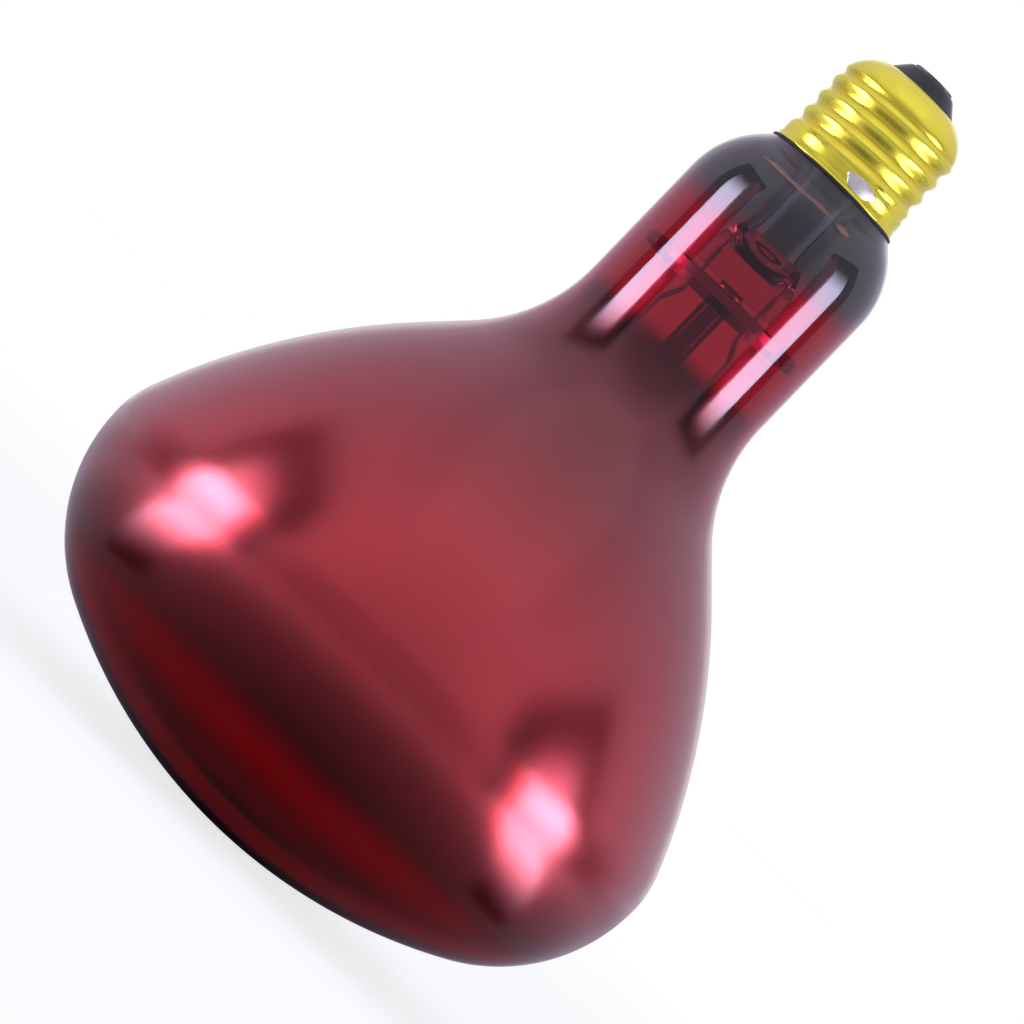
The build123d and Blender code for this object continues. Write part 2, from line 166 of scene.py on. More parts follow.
class FinishSettings(bpy.types.PropertyGroup):
    """Colours of the lamp's materials"""

    ruby: colour("Ruby stain", (0.84, 0.06, 0.1), "Stained glass of the body")
    # Painted shade: a deeper red on the face and lower body, darker towards the bottom
    face_shade_ruby: colour("Face stain", (0.6, 0.012, 0.03), "Deeper stain of the face")
    wine: colour("Neck stain", (0.5, 0.085, 0.135), "Stained glass of the neck, seen through")
    # Painted shade: clear glass given a dark grey tint, standing in for the dark inside of the neck
    bare_glass_shade: colour("Bare glass", (0.2, 0.195, 0.21), "Unstained glass under the cap")
    film: colour("Reflector film", (0.8, 0.79, 0.79), "Metal film behind the glass")
    thin_film: colour("Thin film", (0.16, 0.14, 0.15), "The same film where it thins out towards the neck")
    brass: colour("Brass", (0.97, 0.89, 0.085), "Screw shell and contact")
    # Painted shade: a darker brass for the thread's grooves, where shade falls
    groove_shade: colour("Groove", (0.62, 0.43, 0.02), "Tarnish in the grooves of the thread")
    contact: colour("Contact", (0.2, 0.17, 0.11), "Tarnished brass of the centre contact")
    black_glass: colour("Black glass", (0.016, 0.016, 0.016), "Insulator")
    solder: colour("Solder", (0.86, 0.85, 0.74), "Solder on the contacts")
    cement: colour("Cement", (0.62, 0.5, 0.34), "Cement ring inside the cap")
    smear: colour("Smear", (0.2, 0.12, 0.085), "Thin cement smeared on the glass")
    # Painted shade: near-black for the shadowed gap between the cap's lip and the glass
    lip_gap_shade: colour("Seal", (0.018, 0.012, 0.012), "Cement that shows under the lip of the cap")
    clear_glass: colour("Clear glass", (0.9, 0.94, 0.92), "Stem, tube and arbor")
    arbor: colour("Arbor glass", (0.14, 0.1, 0.1), "Glass rod, darkened by metal from the filament")
    shield: colour("Heat shield", (0.72, 0.71, 0.7), "Metal dish in the neck")
    nickel: colour("Nickel", (0.6, 0.57, 0.52), "Inner leads")
    copper: colour("Copper", (0.7, 0.36, 0.22), "Wires to the contacts")
    molybdenum: colour("Molybdenum", (0.42, 0.42, 0.44), "Filament supports")
    tungsten: colour("Tungsten", (0.32, 0.32, 0.33), "Filament")
    paper: colour("Backdrop", (0.92, 0.92, 0.92), "Floor and backdrop paper")
    light: colour("Light", (0.74, 0.72, 1.0), "Tint of the side lights")
    flag: colour("Dark card", (0.06, 0.06, 0.06), "Card that keeps the face dark, close to the lamp")
    pale_flag: colour("Pale card", (0.5, 0.5, 0.5), "The same card further away")


class StageSettings(bpy.types.PropertyGroup):
    """Camera and lights of the picture"""

    camera_distance: length("Camera distance", 0.95, "From the lamp's axis to the camera")
    camera_level: length("Camera level", 74.8 * MM, "Height of the camera and of the point it looks at")
    camera_side: FloatProperty(
        name="Camera side",
        description="Camera's place to the right of the axis",
        default=-0.8 * MM,
        unit="LENGTH",
    )
    frame_width: length("Frame width", 178.2 * MM, "Width of the picture at the lamp's axis")
    axis_tilt: angle("Axis tilt", 46.0, "Lean of the lamp's axis above the picture's horizontal")
    softbox_azimuth: angle("Softbox azimuth", 73.0, "Turn of each side light from the lens")
    softbox_distance: length("Softbox distance", 0.4, "From the axis to each side light")
    softbox_width: length("Softbox width", 0.18, "Width of each side light at its foot")
    softbox_top: length("Softbox top", 0.13, "Width of each side light at its top")
    softbox_height: length("Softbox height", 0.32, "Height of each side light")
    softbox_border: length("Softbox border", 0.1, "Width of the dark border round each side light")
    flag_azimuth: angle("Flag azimuth", 104.0, "Turn of each low dark flag from the lens")
    flag_width: length("Flag width", 0.3, "Width of each low dark flag")
    flag_height: length("Flag height", 0.2, "Height of each low dark flag")
    table_azimuth: angle("Table light azimuth", 70.0, "Turn of each table light from the lens")
    table_near: length("Table light near end", 0.075, "From the axis to the near end of each table light")
    light_strength: light_level("Light strength", 14.0, "Brightness of the side lights")
    table_strength: light_level("Table strength", 11.0, "Brightness of the table lights")
    table_spread: angle("Table spread", 10.5, "Half of the angle that each table light fills")
    table_fade: length("Table fade", 0.12, "Stretch over which a table light grows bright")
    room_radius: length("Room radius", 4.5, "Radius of the floor and backdrop")
    room_height: length("Room height", 2.95, "Height of the backdrop")
    backdrop_half_angle: angle("Backdrop half angle", 20.0, "Reach of the backdrop to each side")


SETTINGS = {
    "lamp_bulb": BulbSettings,
    "lamp_cap": CapSettings,
    "lamp_filament": FilamentSettings,
    "lamp_finish": FinishSettings,
    "lamp_stage": StageSettings,
}


# Outlines

def arc(points, heading, radius, turn, steps):
    """Adds a tangent arc to an outline of (radius, height) points and returns the new heading."""
    r, z = points[-1]
    side = 1.0 if turn > 0 else -1.0
    centre = (r - side * radius * math.sin(heading), z + side * radius * math.cos(heading))
    for step in range(1, steps + 1):
        at = heading + turn * step / steps
        points.append((centre[0] + side * radius * math.sin(at), centre[1] - side * radius * math.cos(at)))
    return heading + turn


def run(points, end, steps):
    """Adds a straight stretch to an outline."""
    r, z = points[-1]
    for step in range(1, steps + 1):
        points.append((r + (end[0] - r) * step / steps, z + (end[1] - z) * step / steps))


def bow(points, end, radius, steps):
    """Adds an arc to a given end. It bulges right of the way, or left if radius is negative."""
    r, z = points[-1]
    across, up = end[0] - r, end[1] - z
    chord = math.hypot(across, up)
    reach = math.copysign(math.sqrt(radius**2 - chord**2 / 4), radius) / chord
    centre = ((r + end[0]) / 2 - up * reach, (z + end[1]) / 2 + across * reach)
    sweep = 2 * math.asin(chord / (2 * radius))
    first = math.atan2(z - centre[1], r - centre[0])
    for step in range(1, steps + 1):
        at = first + sweep * step / steps
        points.append((centre[0] + abs(radius) * math.cos(at), centre[1] + abs(radius) * math.sin(at)))


def bulb_outline(bulb, inset):
    """The glass outline from the middle of the face to the spigot's end, moved in by inset."""
    radius = min(BULB_HIGH.x, BULB_HIGH.y)
    face_turn = math.asin((radius - bulb.rim_radius) / (bulb.face_radius - bulb.rim_radius))
    level = math.pi / 2
    lean_cos, lean_sin = math.cos(bulb.taper_angle), math.sin(bulb.taper_angle)
    drop = bulb.belly_radius * (1 - math.cos(bulb.belly_turn))
    drop += bulb.side_radius * (math.cos(bulb.belly_turn) - lean_cos)
    drop += bulb.throat_radius * (1 - lean_cos)
    taper_length = (radius - drop - bulb.neck_radius) / lean_sin
    points = [(0.0, inset)]
    heading = arc(points, 0.0, bulb.face_radius - inset, face_turn, steps=26)
    heading = arc(points, heading, bulb.rim_radius - inset, level - face_turn, steps=26)
    heading = arc(points, heading, bulb.belly_radius - inset, bulb.belly_turn, steps=10)
    heading = arc(points, heading, bulb.side_radius - inset, bulb.taper_angle - bulb.belly_turn, steps=24)
    r, z = points[-1]
    run(points, (r - taper_length * lean_sin, z + taper_length * lean_cos), steps=5)
    heading = arc(points, heading, bulb.throat_radius + inset, -bulb.taper_angle, steps=22)
    r, z = points[-1]
    run(points, (r, z + bulb.neck_length), steps=8)
    arc(points, heading, bulb.shoulder_radius - inset, bulb.shoulder_angle, steps=16)
    r, z = points[-1]
    spigot = bulb.spigot_radius - inset
    run(points, (spigot, z + (r - spigot) / math.tan(bulb.shoulder_angle)), steps=3)
    run(points, (spigot, BULB_HIGH.z), steps=3)
    return points


def cut_between(points, low, high):
    """The stretch of a rising outline between two levels, with its ends worked out on the outline."""
    kept = []
    for (r0, z0), (r1, z1) in zip(points, points[1:]):
        for level in (low, high):
            if z0 < level <= z1 and z1 > z0:
                share = (level - z0) / (z1 - z0)
                kept.append((r0 + (r1 - r0) * share, level))
        if low < z1 < high:
            kept.append((r1, z1))
    return sorted(set(kept), key=lambda point: point[1])


def glass_radius(bulb, level):
    """Radius of the glass at a level over its widest ring."""
    outline = bulb_outline(bulb, 0.0)
    for (r0, z0), (r1, z1) in reversed(list(zip(outline, outline[1:]))):
        if z0 < level <= z1:
            return r0 + (r1 - r0) * (level - z0) / (z1 - z0)
    raise ValueError(f"No glass at level {level}")


# Meshes

def new_object(name, mesh):
    """A new object in the scene at the origin."""
    made = bpy.data.objects.new(name, mesh)
    bpy.context.scene.collection.objects.link(made)
    return made


def lathe(name, outline, segments):
    """A closed solid of revolution. The outline runs with the solid on its left."""
    verts, rings = [], []
    for r, z in outline:
        if r < SAME_PLACE:
            rings.append([len(verts)])
            verts.append((0.0, 0.0, z))
            continue
        rings.append(list(range(len(verts), len(verts) + segments)))
        for step in range(segments):
            at = 2 * math.pi * step / segments
            verts.append((r * math.cos(at), r * math.sin(at), z))
    faces = []
    count = len(rings)
    closed = len(rings[0]) > 1 or len(rings[-1]) > 1
    for number in range(count if closed else count - 1):
        low, high = rings[number], rings[(number + 1) % count]
        for step in range(segments):
            after = (step + 1) % segments
            if len(low) == 1 and len(high) == 1:
                continue
            if len(low) == 1:
                faces.append((low[0], high[after], high[step]))
            elif len(high) == 1:
                faces.append((low[step], low[after], high[0]))
            else:
                faces.append((low[step], low[after], high[after], high[step]))
    mesh = bpy.data.meshes.new(name)
    mesh.from_pydata(verts, [], faces)
    mesh.validate()
    mesh.shade_smooth()
    return new_object(name, mesh)


def weld(mesh):
    """Merges doubled points and turns the faces outwards."""
    work = bmesh.new()
    work.from_mesh(mesh)
    bmesh.ops.remove_doubles(work, verts=work.verts, dist=SAME_PLACE)
    bmesh.ops.recalc_face_normals(work, faces=work.faces)
    work.to_mesh(mesh)
    work.free()


def bead(name, centres, normals, radii, flatness, sides):
    """A closed bead along a line of points, pressed flat against the wall behind it."""
    verts, faces = [], []
    for number, (centre, outward, radius) in enumerate(zip(centres, normals, radii)):
        before, after = centres[max(number - 1, 0)], centres[min(number + 1, len(centres) - 1)]
        upward = outward.cross((after - before).normalized())
        for side in range(sides):
            at = 2 * math.pi * side / sides
            verts.append(centre + (outward * math.cos(at) * flatness + upward * math.sin(at)) * radius)
    for number in range(len(centres) - 1):
        for side in range(sides):
            after = (side + 1) % sides
            low, high = number * sides, (number + 1) * sides
            faces.append((low + side, low + after, high + after, high + side))
    faces.append(tuple(range(sides)))
    faces.append(tuple(range(len(verts) - sides, len(verts))))
    mesh = bpy.data.meshes.new(name)
    mesh.from_pydata(verts, [], faces)
    weld(mesh)
    mesh.shade_smooth()
    return new_object(name, mesh)


def finish_piece(piece, material, slot, *nodes):
    """Gives a piece its material, ties it to the lamp's body and hides the solids it stands for. Its slot is
    not used.
    """
    piece.data.materials.clear()
    piece.data.materials.append(material)
    if nodes:
        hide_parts(*nodes)
    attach(piece, BODY)
    return piece


def bake(piece):
    """Turns a piece with a node tree into a plain mesh."""
    graph = bpy.context.evaluated_depsgraph_get()
    mesh = bpy.data.meshes.new_from_object(piece.evaluated_get(graph))
    piece.modifiers.clear()
    piece.data = mesh
    return piece


# Geometry node trees

class Tree:
    """Short calls for building a node tree."""

    def __init__(self, tree):
        self.tree = tree
        self.nodes = tree.nodes
        self.links = tree.links

    def add(self, kind, **values):
        node = self.nodes.new(kind)
        for key, value in values.items():
            setattr(node, key, value)
        return node

    def feed(self, socket, value):
        if isinstance(value, bpy.types.NodeSocket):
            self.links.new(value, socket)
        else:
            socket.default_value = value

    def math(self, operation, *values):
        node = self.add("ShaderNodeMath", operation=operation)
        for number, value in enumerate(values):
            self.feed(node.inputs[number], value)
        return node.outputs[0]

    def vector(self, operation, first, second):
        node = self.add("ShaderNodeVectorMath", operation=operation)
        self.feed(node.inputs[0], first)
        self.feed(node.inputs["Scale" if operation == "SCALE" else 1], second)
        return node.outputs[0]

    def smooth_step(self, value, low, high):
        node = self.add("ShaderNodeMapRange", interpolation_type="SMOOTHSTEP")
        self.feed(node.inputs["Value"], value)
        self.feed(node.inputs["From Min"], low)
        self.feed(node.inputs["From Max"], high)
        return node.outputs["Result"]

    def rest(self, share):
        return self.math("SUBTRACT", 1.0, share)


def geometry_tree(name, sizes):
    """A geometry node tree with a mesh in, a mesh out, named sizes and a material."""
    tree = bpy.data.node_groups.new(name, "GeometryNodeTree")
    tree.interface.new_socket("Geometry", in_out="OUTPUT", socket_type="NodeSocketGeometry")
    tree.interface.new_socket("Geometry", in_out="INPUT", socket_type="NodeSocketGeometry")
    for size in sizes:
        tree.interface.new_socket(size, in_out="INPUT", socket_type="NodeSocketFloat")
    tree.interface.new_socket("Material", in_out="INPUT", socket_type="NodeSocketMaterial")
    build = Tree(tree)
    return build, build.add("NodeGroupInput"), build.add("NodeGroupOutput")


def close_tree(build, given, result, geometry):
    """Ends a tree in real geometry with its material."""
    real = build.add("GeometryNodeRealizeInstances")
    build.links.new(geometry, real.inputs["Geometry"])
    painted = build.add("GeometryNodeSetMaterial")
    build.links.new(real.outputs["Geometry"], painted.inputs["Geometry"])
    build.links.new(given.outputs["Material"], painted.inputs["Material"])
    build.links.new(painted.outputs["Geometry"], result.inputs["Geometry"])


def apply_tree(piece, build, values):
    """Runs a tree on a piece, with its inputs set by name, and keeps the plain mesh."""
    modifier = piece.modifiers.new(build.tree.name, "NODES")
    modifier.node_group = build.tree
    for item in build.tree.interface.items_tree:
        if item.in_out == "INPUT" and item.name in values:
            modifier[item.identifier] = values[item.name]
    bpy.context.view_layer.update()
    return bake(piece)


def rolled_thread_tree():
    """Moves a turned shell in and out along a right-hand helix, run out at both ends."""
    sizes = ("Pitch", "Depth", "Crest Level", "Start", "Stop", "Runout")
    build, given, result = geometry_tree("Rolled thread", sizes)
    place = build.add("ShaderNodeSeparateXYZ")
    build.links.new(build.add("GeometryNodeInputPosition").outputs[0], place.inputs[0])
    x, y, z = place.outputs
    turn = build.math("ARCTAN2", y, x)
    height = build.math("SUBTRACT", z, given.outputs["Crest Level"])
    rise = build.math("DIVIDE", height, given.outputs["Pitch"])
    phase = build.math("SUBTRACT", build.math("MULTIPLY", rise, 2 * math.pi), turn)
    half_wave = build.math("MULTIPLY", build.math("COSINE", phase), 0.5)
    start, stop = given.outputs["Start"], given.outputs["Stop"]
    runout = given.outputs["Runout"]
    grow = build.smooth_step(z, start, build.math("ADD", start, runout))
    fade = build.smooth_step(z, build.math("SUBTRACT", stop, runout), stop)
    share = build.math("MULTIPLY", grow, build.rest(fade))
    swing = build.math("MULTIPLY", build.math("MULTIPLY", half_wave, share), given.outputs["Depth"])
    outward = build.add("ShaderNodeCombineXYZ")
    build.links.new(build.math("COSINE", turn), outward.inputs[0])
    build.links.new(build.math("SINE", turn), outward.inputs[1])
    moved = build.add("GeometryNodeSetPosition")
    build.links.new(given.outputs["Geometry"], moved.inputs["Geometry"])
    build.links.new(build.vector("SCALE", outward.outputs[0], swing), moved.inputs["Offset"])
    close_tree(build, given, result, moved.outputs["Geometry"])
    return build


def coil_tree():
    """Winds a wire in a helix along a path."""
    wire_sides = 7
    sizes = ("Turns", "Points", "Coil Radius", "Wire Radius")
    build, given, result = geometry_tree("Filament coil", sizes)
    path = build.add("GeometryNodeMeshToCurve")
    build.links.new(given.outputs["Geometry"], path.inputs["Mesh"])
    even = build.add("GeometryNodeResampleCurve")
    build.links.new(path.outputs["Curve"], even.inputs["Curve"])
    build.links.new(given.outputs["Points"], even.inputs["Count"])
    along = build.add("GeometryNodeSplineParameter").outputs["Factor"]
    turn = build.math("MULTIPLY", build.math("MULTIPLY", along, given.outputs["Turns"]), 2 * math.pi)
    normal = build.add("GeometryNodeInputNormal").outputs[0]
    tangent = build.add("GeometryNodeInputTangent").outputs[0]
    across = build.vector("CROSS_PRODUCT", tangent, normal)
    round_x = build.vector("SCALE", normal, build.math("COSINE", turn))
    round_y = build.vector("SCALE", across, build.math("SINE", turn))
    offset = build.vector("SCALE", build.vector("ADD", round_x, round_y), given.outputs["Coil Radius"])
    wound = build.add("GeometryNodeSetPosition")
    build.links.new(even.outputs["Curve"], wound.inputs["Geometry"])
    build.links.new(offset, wound.inputs["Offset"])
    section = build.add("GeometryNodeCurvePrimitiveCircle")
    section.inputs["Resolution"].default_value = wire_sides
    build.links.new(given.outputs["Wire Radius"], section.inputs["Radius"])
    wire = build.add("GeometryNodeCurveToMesh")
    build.links.new(wound.outputs["Geometry"], wire.inputs["Curve"])
    build.links.new(section.outputs["Curve"], wire.inputs["Profile Curve"])
    wire.inputs["Fill Caps"].default_value = True
    smooth = build.add("GeometryNodeSetShadeSmooth")
    build.links.new(wire.outputs["Mesh"], smooth.inputs["Geometry"])
    close_tree(build, given, result, smooth.outputs["Geometry"])
    return build


# Shader node groups and materials

def shader_group(name, inputs, outputs):
    """A new shader node group with named numbers in and out."""
    tree = bpy.data.node_groups.new(name, "ShaderNodeTree")
    for way, sockets in (("INPUT", inputs), ("OUTPUT", outputs)):
        for socket in sockets:
            tree.interface.new_socket(socket, in_out=way, socket_type="NodeSocketFloat")
    build = Tree(tree)
    return build, build.add("NodeGroupInput"), build.add("NodeGroupOutput")


def level_mask_group():
    """Group: 0 below a level of the piece and 1 above it, with a soft, slightly uneven edge."""
    name, noise_scale, noise_middle = "Level mask", 60.0, 0.5
    if name in bpy.data.node_groups:
        return bpy.data.node_groups[name]
    build, given, result = shader_group(name, ("Level", "Softness", "Unevenness"), ("Mask",))
    where = build.add("ShaderNodeTexCoord").outputs["Object"]
    noise = build.add("ShaderNodeTexNoise")
    noise.inputs["Scale"].default_value = noise_scale
    build.links.new(where, noise.inputs["Vector"])
    place = build.add("ShaderNodeSeparateXYZ")
    build.links.new(where, place.inputs[0])
    wander = build.math("SUBTRACT", noise.outputs["Fac"], noise_middle)
    swing = build.math("MULTIPLY", wander, given.outputs["Unevenness"])
    height = build.math("ADD", place.outputs["Z"], swing)
    low = build.math("SUBTRACT", given.outputs["Level"], given.outputs["Softness"])
    high = build.math("ADD", given.outputs["Level"], given.outputs["Softness"])
    build.links.new(build.smooth_step(height, low, high), result.inputs["Mask"])
    return build.tree


def surface_grain_group():
    """Group: fine and broad unevenness of a worked surface."""
    name, noise_low, noise_high = "Surface grain", 0.3, 0.7
    if name in bpy.data.node_groups:
        return bpy.data.node_groups[name]
    build, given, result = shader_group(name, ("Scale", "Low", "High"), ("Value", "Height"))
    where = build.add("ShaderNodeTexCoord").outputs["Object"]
    noise = build.add("ShaderNodeTexNoise")
    noise.inputs["Detail"].default_value = 5.0
    noise.inputs["Roughness"].default_value = 0.6
    build.links.new(where, noise.inputs["Vector"])
    build.links.new(given.outputs["Scale"], noise.inputs["Scale"])
    spread = build.add("ShaderNodeMapRange")
    build.links.new(noise.outputs["Fac"], spread.inputs["Value"])
    spread.inputs["From Min"].default_value = noise_low
    spread.inputs["From Max"].default_value = noise_high
    build.links.new(given.outputs["Low"], spread.inputs["To Min"])
    build.links.new(given.outputs["High"], spread.inputs["To Max"])
    build.links.new(spread.outputs["Result"], result.inputs["Value"])
    build.links.new(noise.outputs["Fac"], result.inputs["Height"])
    return build.tree


class Finish:
    """One material and its shader, with the shared groups at hand."""

    def __init__(self, name, metallic=0.0, roughness=0.3):
        self.material = bpy.data.materials.new(name)
        self.material.use_nodes = True
        self.build = Tree(self.material.node_tree)
        self.shader = self.build.nodes["Principled BSDF"]
        self.shader.inputs["Metallic"].default_value = metallic
        self.shader.inputs["Roughness"].default_value = roughness

    def group(self, tree, **values):
        node = self.build.add("ShaderNodeGroup", node_tree=tree)
        for key, value in values.items():
            node.inputs[key].default_value = value
        return node

    def grain(self, scale, low, high):
        return self.group(surface_grain_group(), Scale=scale, Low=low, High=high)

    def above(self, level, softness, unevenness=0.0):
        mask = self.group(level_mask_group(), Level=level, Softness=softness, Unevenness=unevenness)
        return mask.outputs["Mask"]

    def place(self):
        parts = self.build.add("ShaderNodeSeparateXYZ")
        self.build.links.new(self.build.add("ShaderNodeTexCoord").outputs["Object"], parts.inputs[0])
        return parts.outputs

    def mix(self, share, first, second):
        node = self.build.add("ShaderNodeMix", data_type="RGBA")
        self.build.feed(node.inputs["Factor"], share)
        for socket, value in ((node.inputs["A"], first), (node.inputs["B"], second)):
            self.build.feed(socket, value if isinstance(value, bpy.types.NodeSocket) else (*value, 1.0))
        return node.outputs["Result"]

    def feed(self, socket, value):
        self.build.feed(self.shader.inputs[socket], value)

    def grained(self, scale, low, high, base, other):
        """Grain in the roughness, and in the colour from one tone to another."""
        grain = self.grain(scale, low, high)
        self.feed("Roughness", grain.outputs["Value"])
        self.feed("Base Color", self.mix(grain.outputs["Height"], tuple(base), tuple(other)))
        return grain

    def bump(self, height, strength, distance):
        node = self.build.add("ShaderNodeBump")
        node.inputs["Strength"].default_value = strength
        node.inputs["Distance"].default_value = distance
        self.build.feed(node.inputs["Height"], height)
        self.build.links.new(node.outputs["Normal"], self.shader.inputs["Normal"])


def darker(base, share):
    """A colour with a share of its light taken away."""
    return tuple(part * (1 - share) for part in base)


def ruby_glass(finish, bulb):
    """Red stained glass, satin where the reflector backs it, with painted shade: a deeper red towards the
    face, and a dark grey tint on the bare glass under the cap.
    """
    film_margin = 7 * MM
    gloss_roughness, satin_gain, satin_coat = 0.015, 0.19, 0.35
    made = Finish("Ruby glass")
    made.shader.inputs["Transmission Weight"].default_value = 1.0
    made.shader.inputs["IOR"].default_value = 1.52
    made.shader.inputs["Coat Roughness"].default_value = 0.22
    bare = made.above(bulb.stain_top, softness=3.5 * MM, unevenness=3.0 * MM)
    streaks = made.grain(scale=38.0, low=0.0, high=1.0).outputs["Value"]
    stained = made.mix(streaks, tuple(finish.ruby), darker(finish.ruby, share=0.06))
    clear = made.above(bulb.film_top - film_margin, softness=8 * MM)
    necked = made.mix(clear, stained, tuple(finish.wine))
    # Painted shade: the stain turns to the deeper red towards the face, over a soft band round the film's
    # foot
    face_shade_mask = made.above(bulb.film_foot + film_margin, softness=21 * MM, unevenness=3 * MM)
    face_shaded = made.mix(face_shade_mask, tuple(finish.face_shade_ruby), necked)
    # Painted shade: dark grey on the bare glass under the cap, for the dark inside of the neck
    made.feed("Base Color", made.mix(bare, face_shaded, tuple(finish.bare_glass_shade)))
    backed = made.above(bulb.film_foot, softness=2.5 * MM)
    satin = made.build.math("MULTIPLY", backed, made.build.rest(clear))
    made.feed("Roughness", made.build.math("MULTIPLY_ADD", satin, satin_gain, gloss_roughness))
    made.feed("Coat Weight", made.build.math("MULTIPLY", satin, satin_coat))
    return made.material


def reflector_film(finish, bulb):
    """Vapour-laid metal film, bright on the body, thinning out towards the neck."""
    thinning_level, edge_share = 75 * MM, 0.8
    fade = bulb.film_fade
    made = Finish("Reflector film", metallic=1.0)
    cloud = made.grain(scale=24.0, low=0.1, high=0.17)
    made.feed("Roughness", cloud.outputs["Value"])
    bright = made.mix(cloud.outputs["Height"], tuple(finish.film), darker(finish.film, share=0.1))
    thinning = made.above(thinning_level, softness=30 * MM, unevenness=4 * MM)
    made.feed("Base Color", made.mix(thinning, bright, tuple(finish.thin_film)))
    gone = made.above(bulb.film_top - fade, softness=fade * edge_share, unevenness=3 * MM)
    begun = made.above(bulb.film_foot, softness=fade, unevenness=3 * MM)
    made.feed("Alpha", made.build.math("MULTIPLY", begun, made.build.rest(gone)))
    return made.material


def brass_sheet(finish, cap):
    """Bright rolled brass with faint drawing marks, a little tarnish, and painted shade in the thread's
    grooves.
    """
    crest_margin, dome_margin, shade_share = 0.15 * MM, 0.4 * MM, 0.45
    made = Finish("Brass sheet", metallic=1.0)
    build, place = made.build, made.place()
    marks = made.grain(scale=260.0, low=0.22, high=0.33)
    tarnish = made.grain(scale=90.0, low=0.0, high=0.45)
    made.feed("Roughness", marks.outputs["Value"])
    sheet = made.mix(tarnish.outputs["Value"], tuple(finish.brass), darker(finish.brass, share=0.22))
    # Painted shade: the brass is darkened in the thread's grooves, between the crests and below the dome
    across = build.math("POWER", place["X"], 2.0)
    away = build.math("SQRT", build.math("MULTIPLY_ADD", place["Y"], place["Y"], across))
    proud = build.smooth_step(away, cap.root_radius, cap.crest_radius - crest_margin)
    domed = made.above(SHELL_HIGH.z - cap.dome_height - dome_margin, softness=dome_margin)
    painted_shade_mask = build.math("MULTIPLY", build.rest(proud), build.rest(domed))
    painted_shade = build.math("MULTIPLY", painted_shade_mask, shade_share)
    made.feed("Base Color", made.mix(painted_shade, sheet, tuple(finish.groove_shade)))
    made.bump(marks.outputs["Height"], strength=0.12, distance=0.05 * MM)
    return made.material


def black_glass(finish):
    """Moulded black glass with a soft gloss."""
    base = finish.black_glass
    made = Finish("Black glass")
    made.shader.inputs["Specular IOR Level"].default_value = 0.3
    grain = made.grained(scale=120.0, low=0.2, high=0.36, base=base, other=darker(base, share=-1.0))
    made.bump(grain.outputs["Height"], strength=0.1, distance=0.1 * MM)
    return made.material


def dull_solder(finish):
    """Lumpy grey solder with darker flux in its hollows."""
    made = Finish("Solder", metallic=1.0)
    flux = darker(finish.solder, share=0.55)
    grain = made.grained(scale=420.0, low=0.42, high=0.62, base=flux, other=finish.solder)
    made.bump(grain.outputs["Height"], strength=0.5, distance=0.2 * MM)
    return made.material


def matte_grained(name, base):
    """Matte cement, also used for the near-black painted shade under the lip."""
    made = Finish(name)
    grain = made.grained(scale=500.0, low=0.75, high=0.95, base=darker(base, share=0.3), other=base)
    made.bump(grain.outputs["Height"], strength=0.4, distance=0.2 * MM)
    return made.material


def drawn_glass(name, base):
    """Drawn glass of the stem or the arbor."""
    made = Finish(name)
    made.shader.inputs["Transmission Weight"].default_value = 1.0
    made.shader.inputs["IOR"].default_value = 1.5
    made.grained(scale=70.0, low=0.01, high=0.05, base=base, other=darker(base, share=0.1))
    return made.material


def drawn_metal(name, base, low, high, scale):
    """Metal wire or sheet with a fine grain."""
    made = Finish(name, metallic=1.0)
    made.grained(scale, low, high, base=base, other=darker(base, share=0.3))
    return made.material


# Pieces

class LampOperator(bpy.types.Operator):
    """Shared base of the lamp's operators"""

    bl_options = {"REGISTER"}


class LAMP_OT_glass_bulb(LampOperator):
    """Turn the blown glass with its inner wall"""

    bl_idname = "lamp.glass_bulb"
    bl_label = "Glass bulb"

    def execute(self, context):
        bulb, finish = context.scene.lamp_bulb, context.scene.lamp_finish
        outline = bulb_outline(bulb, 0.0) + bulb_outline(bulb, bulb.wall)[::-1]
        piece = lathe("glass_bulb_visual", outline, bulb.segments)
        finish_piece(piece, ruby_glass(finish, bulb), "ruby_glass", "glass_bulb")
        return {"FINISHED"}


class LAMP_OT_reflector_film(LampOperator):
    """Lay the reflector film inside the glass"""

    bl_idname = "lamp.reflector_film"
    bl_label = "Reflector film"

    def execute(self, context):
        bulb, finish = context.scene.lamp_bulb, context.scene.lamp_finish
        near = bulb.wall + bulb.film_gap
        foot, top = bulb.film_foot - bulb.film_fade, bulb.film_top
        outer = cut_between(bulb_outline(bulb, near), foot, top)
        inner = cut_between(bulb_outline(bulb, near + bulb.film_thickness), foot, top)
        piece = lathe("reflector_film", outer + inner[::-1], bulb.segments)
        finish_piece(piece, reflector_film(finish, bulb), "shield_metal")
        return {"FINISHED"}


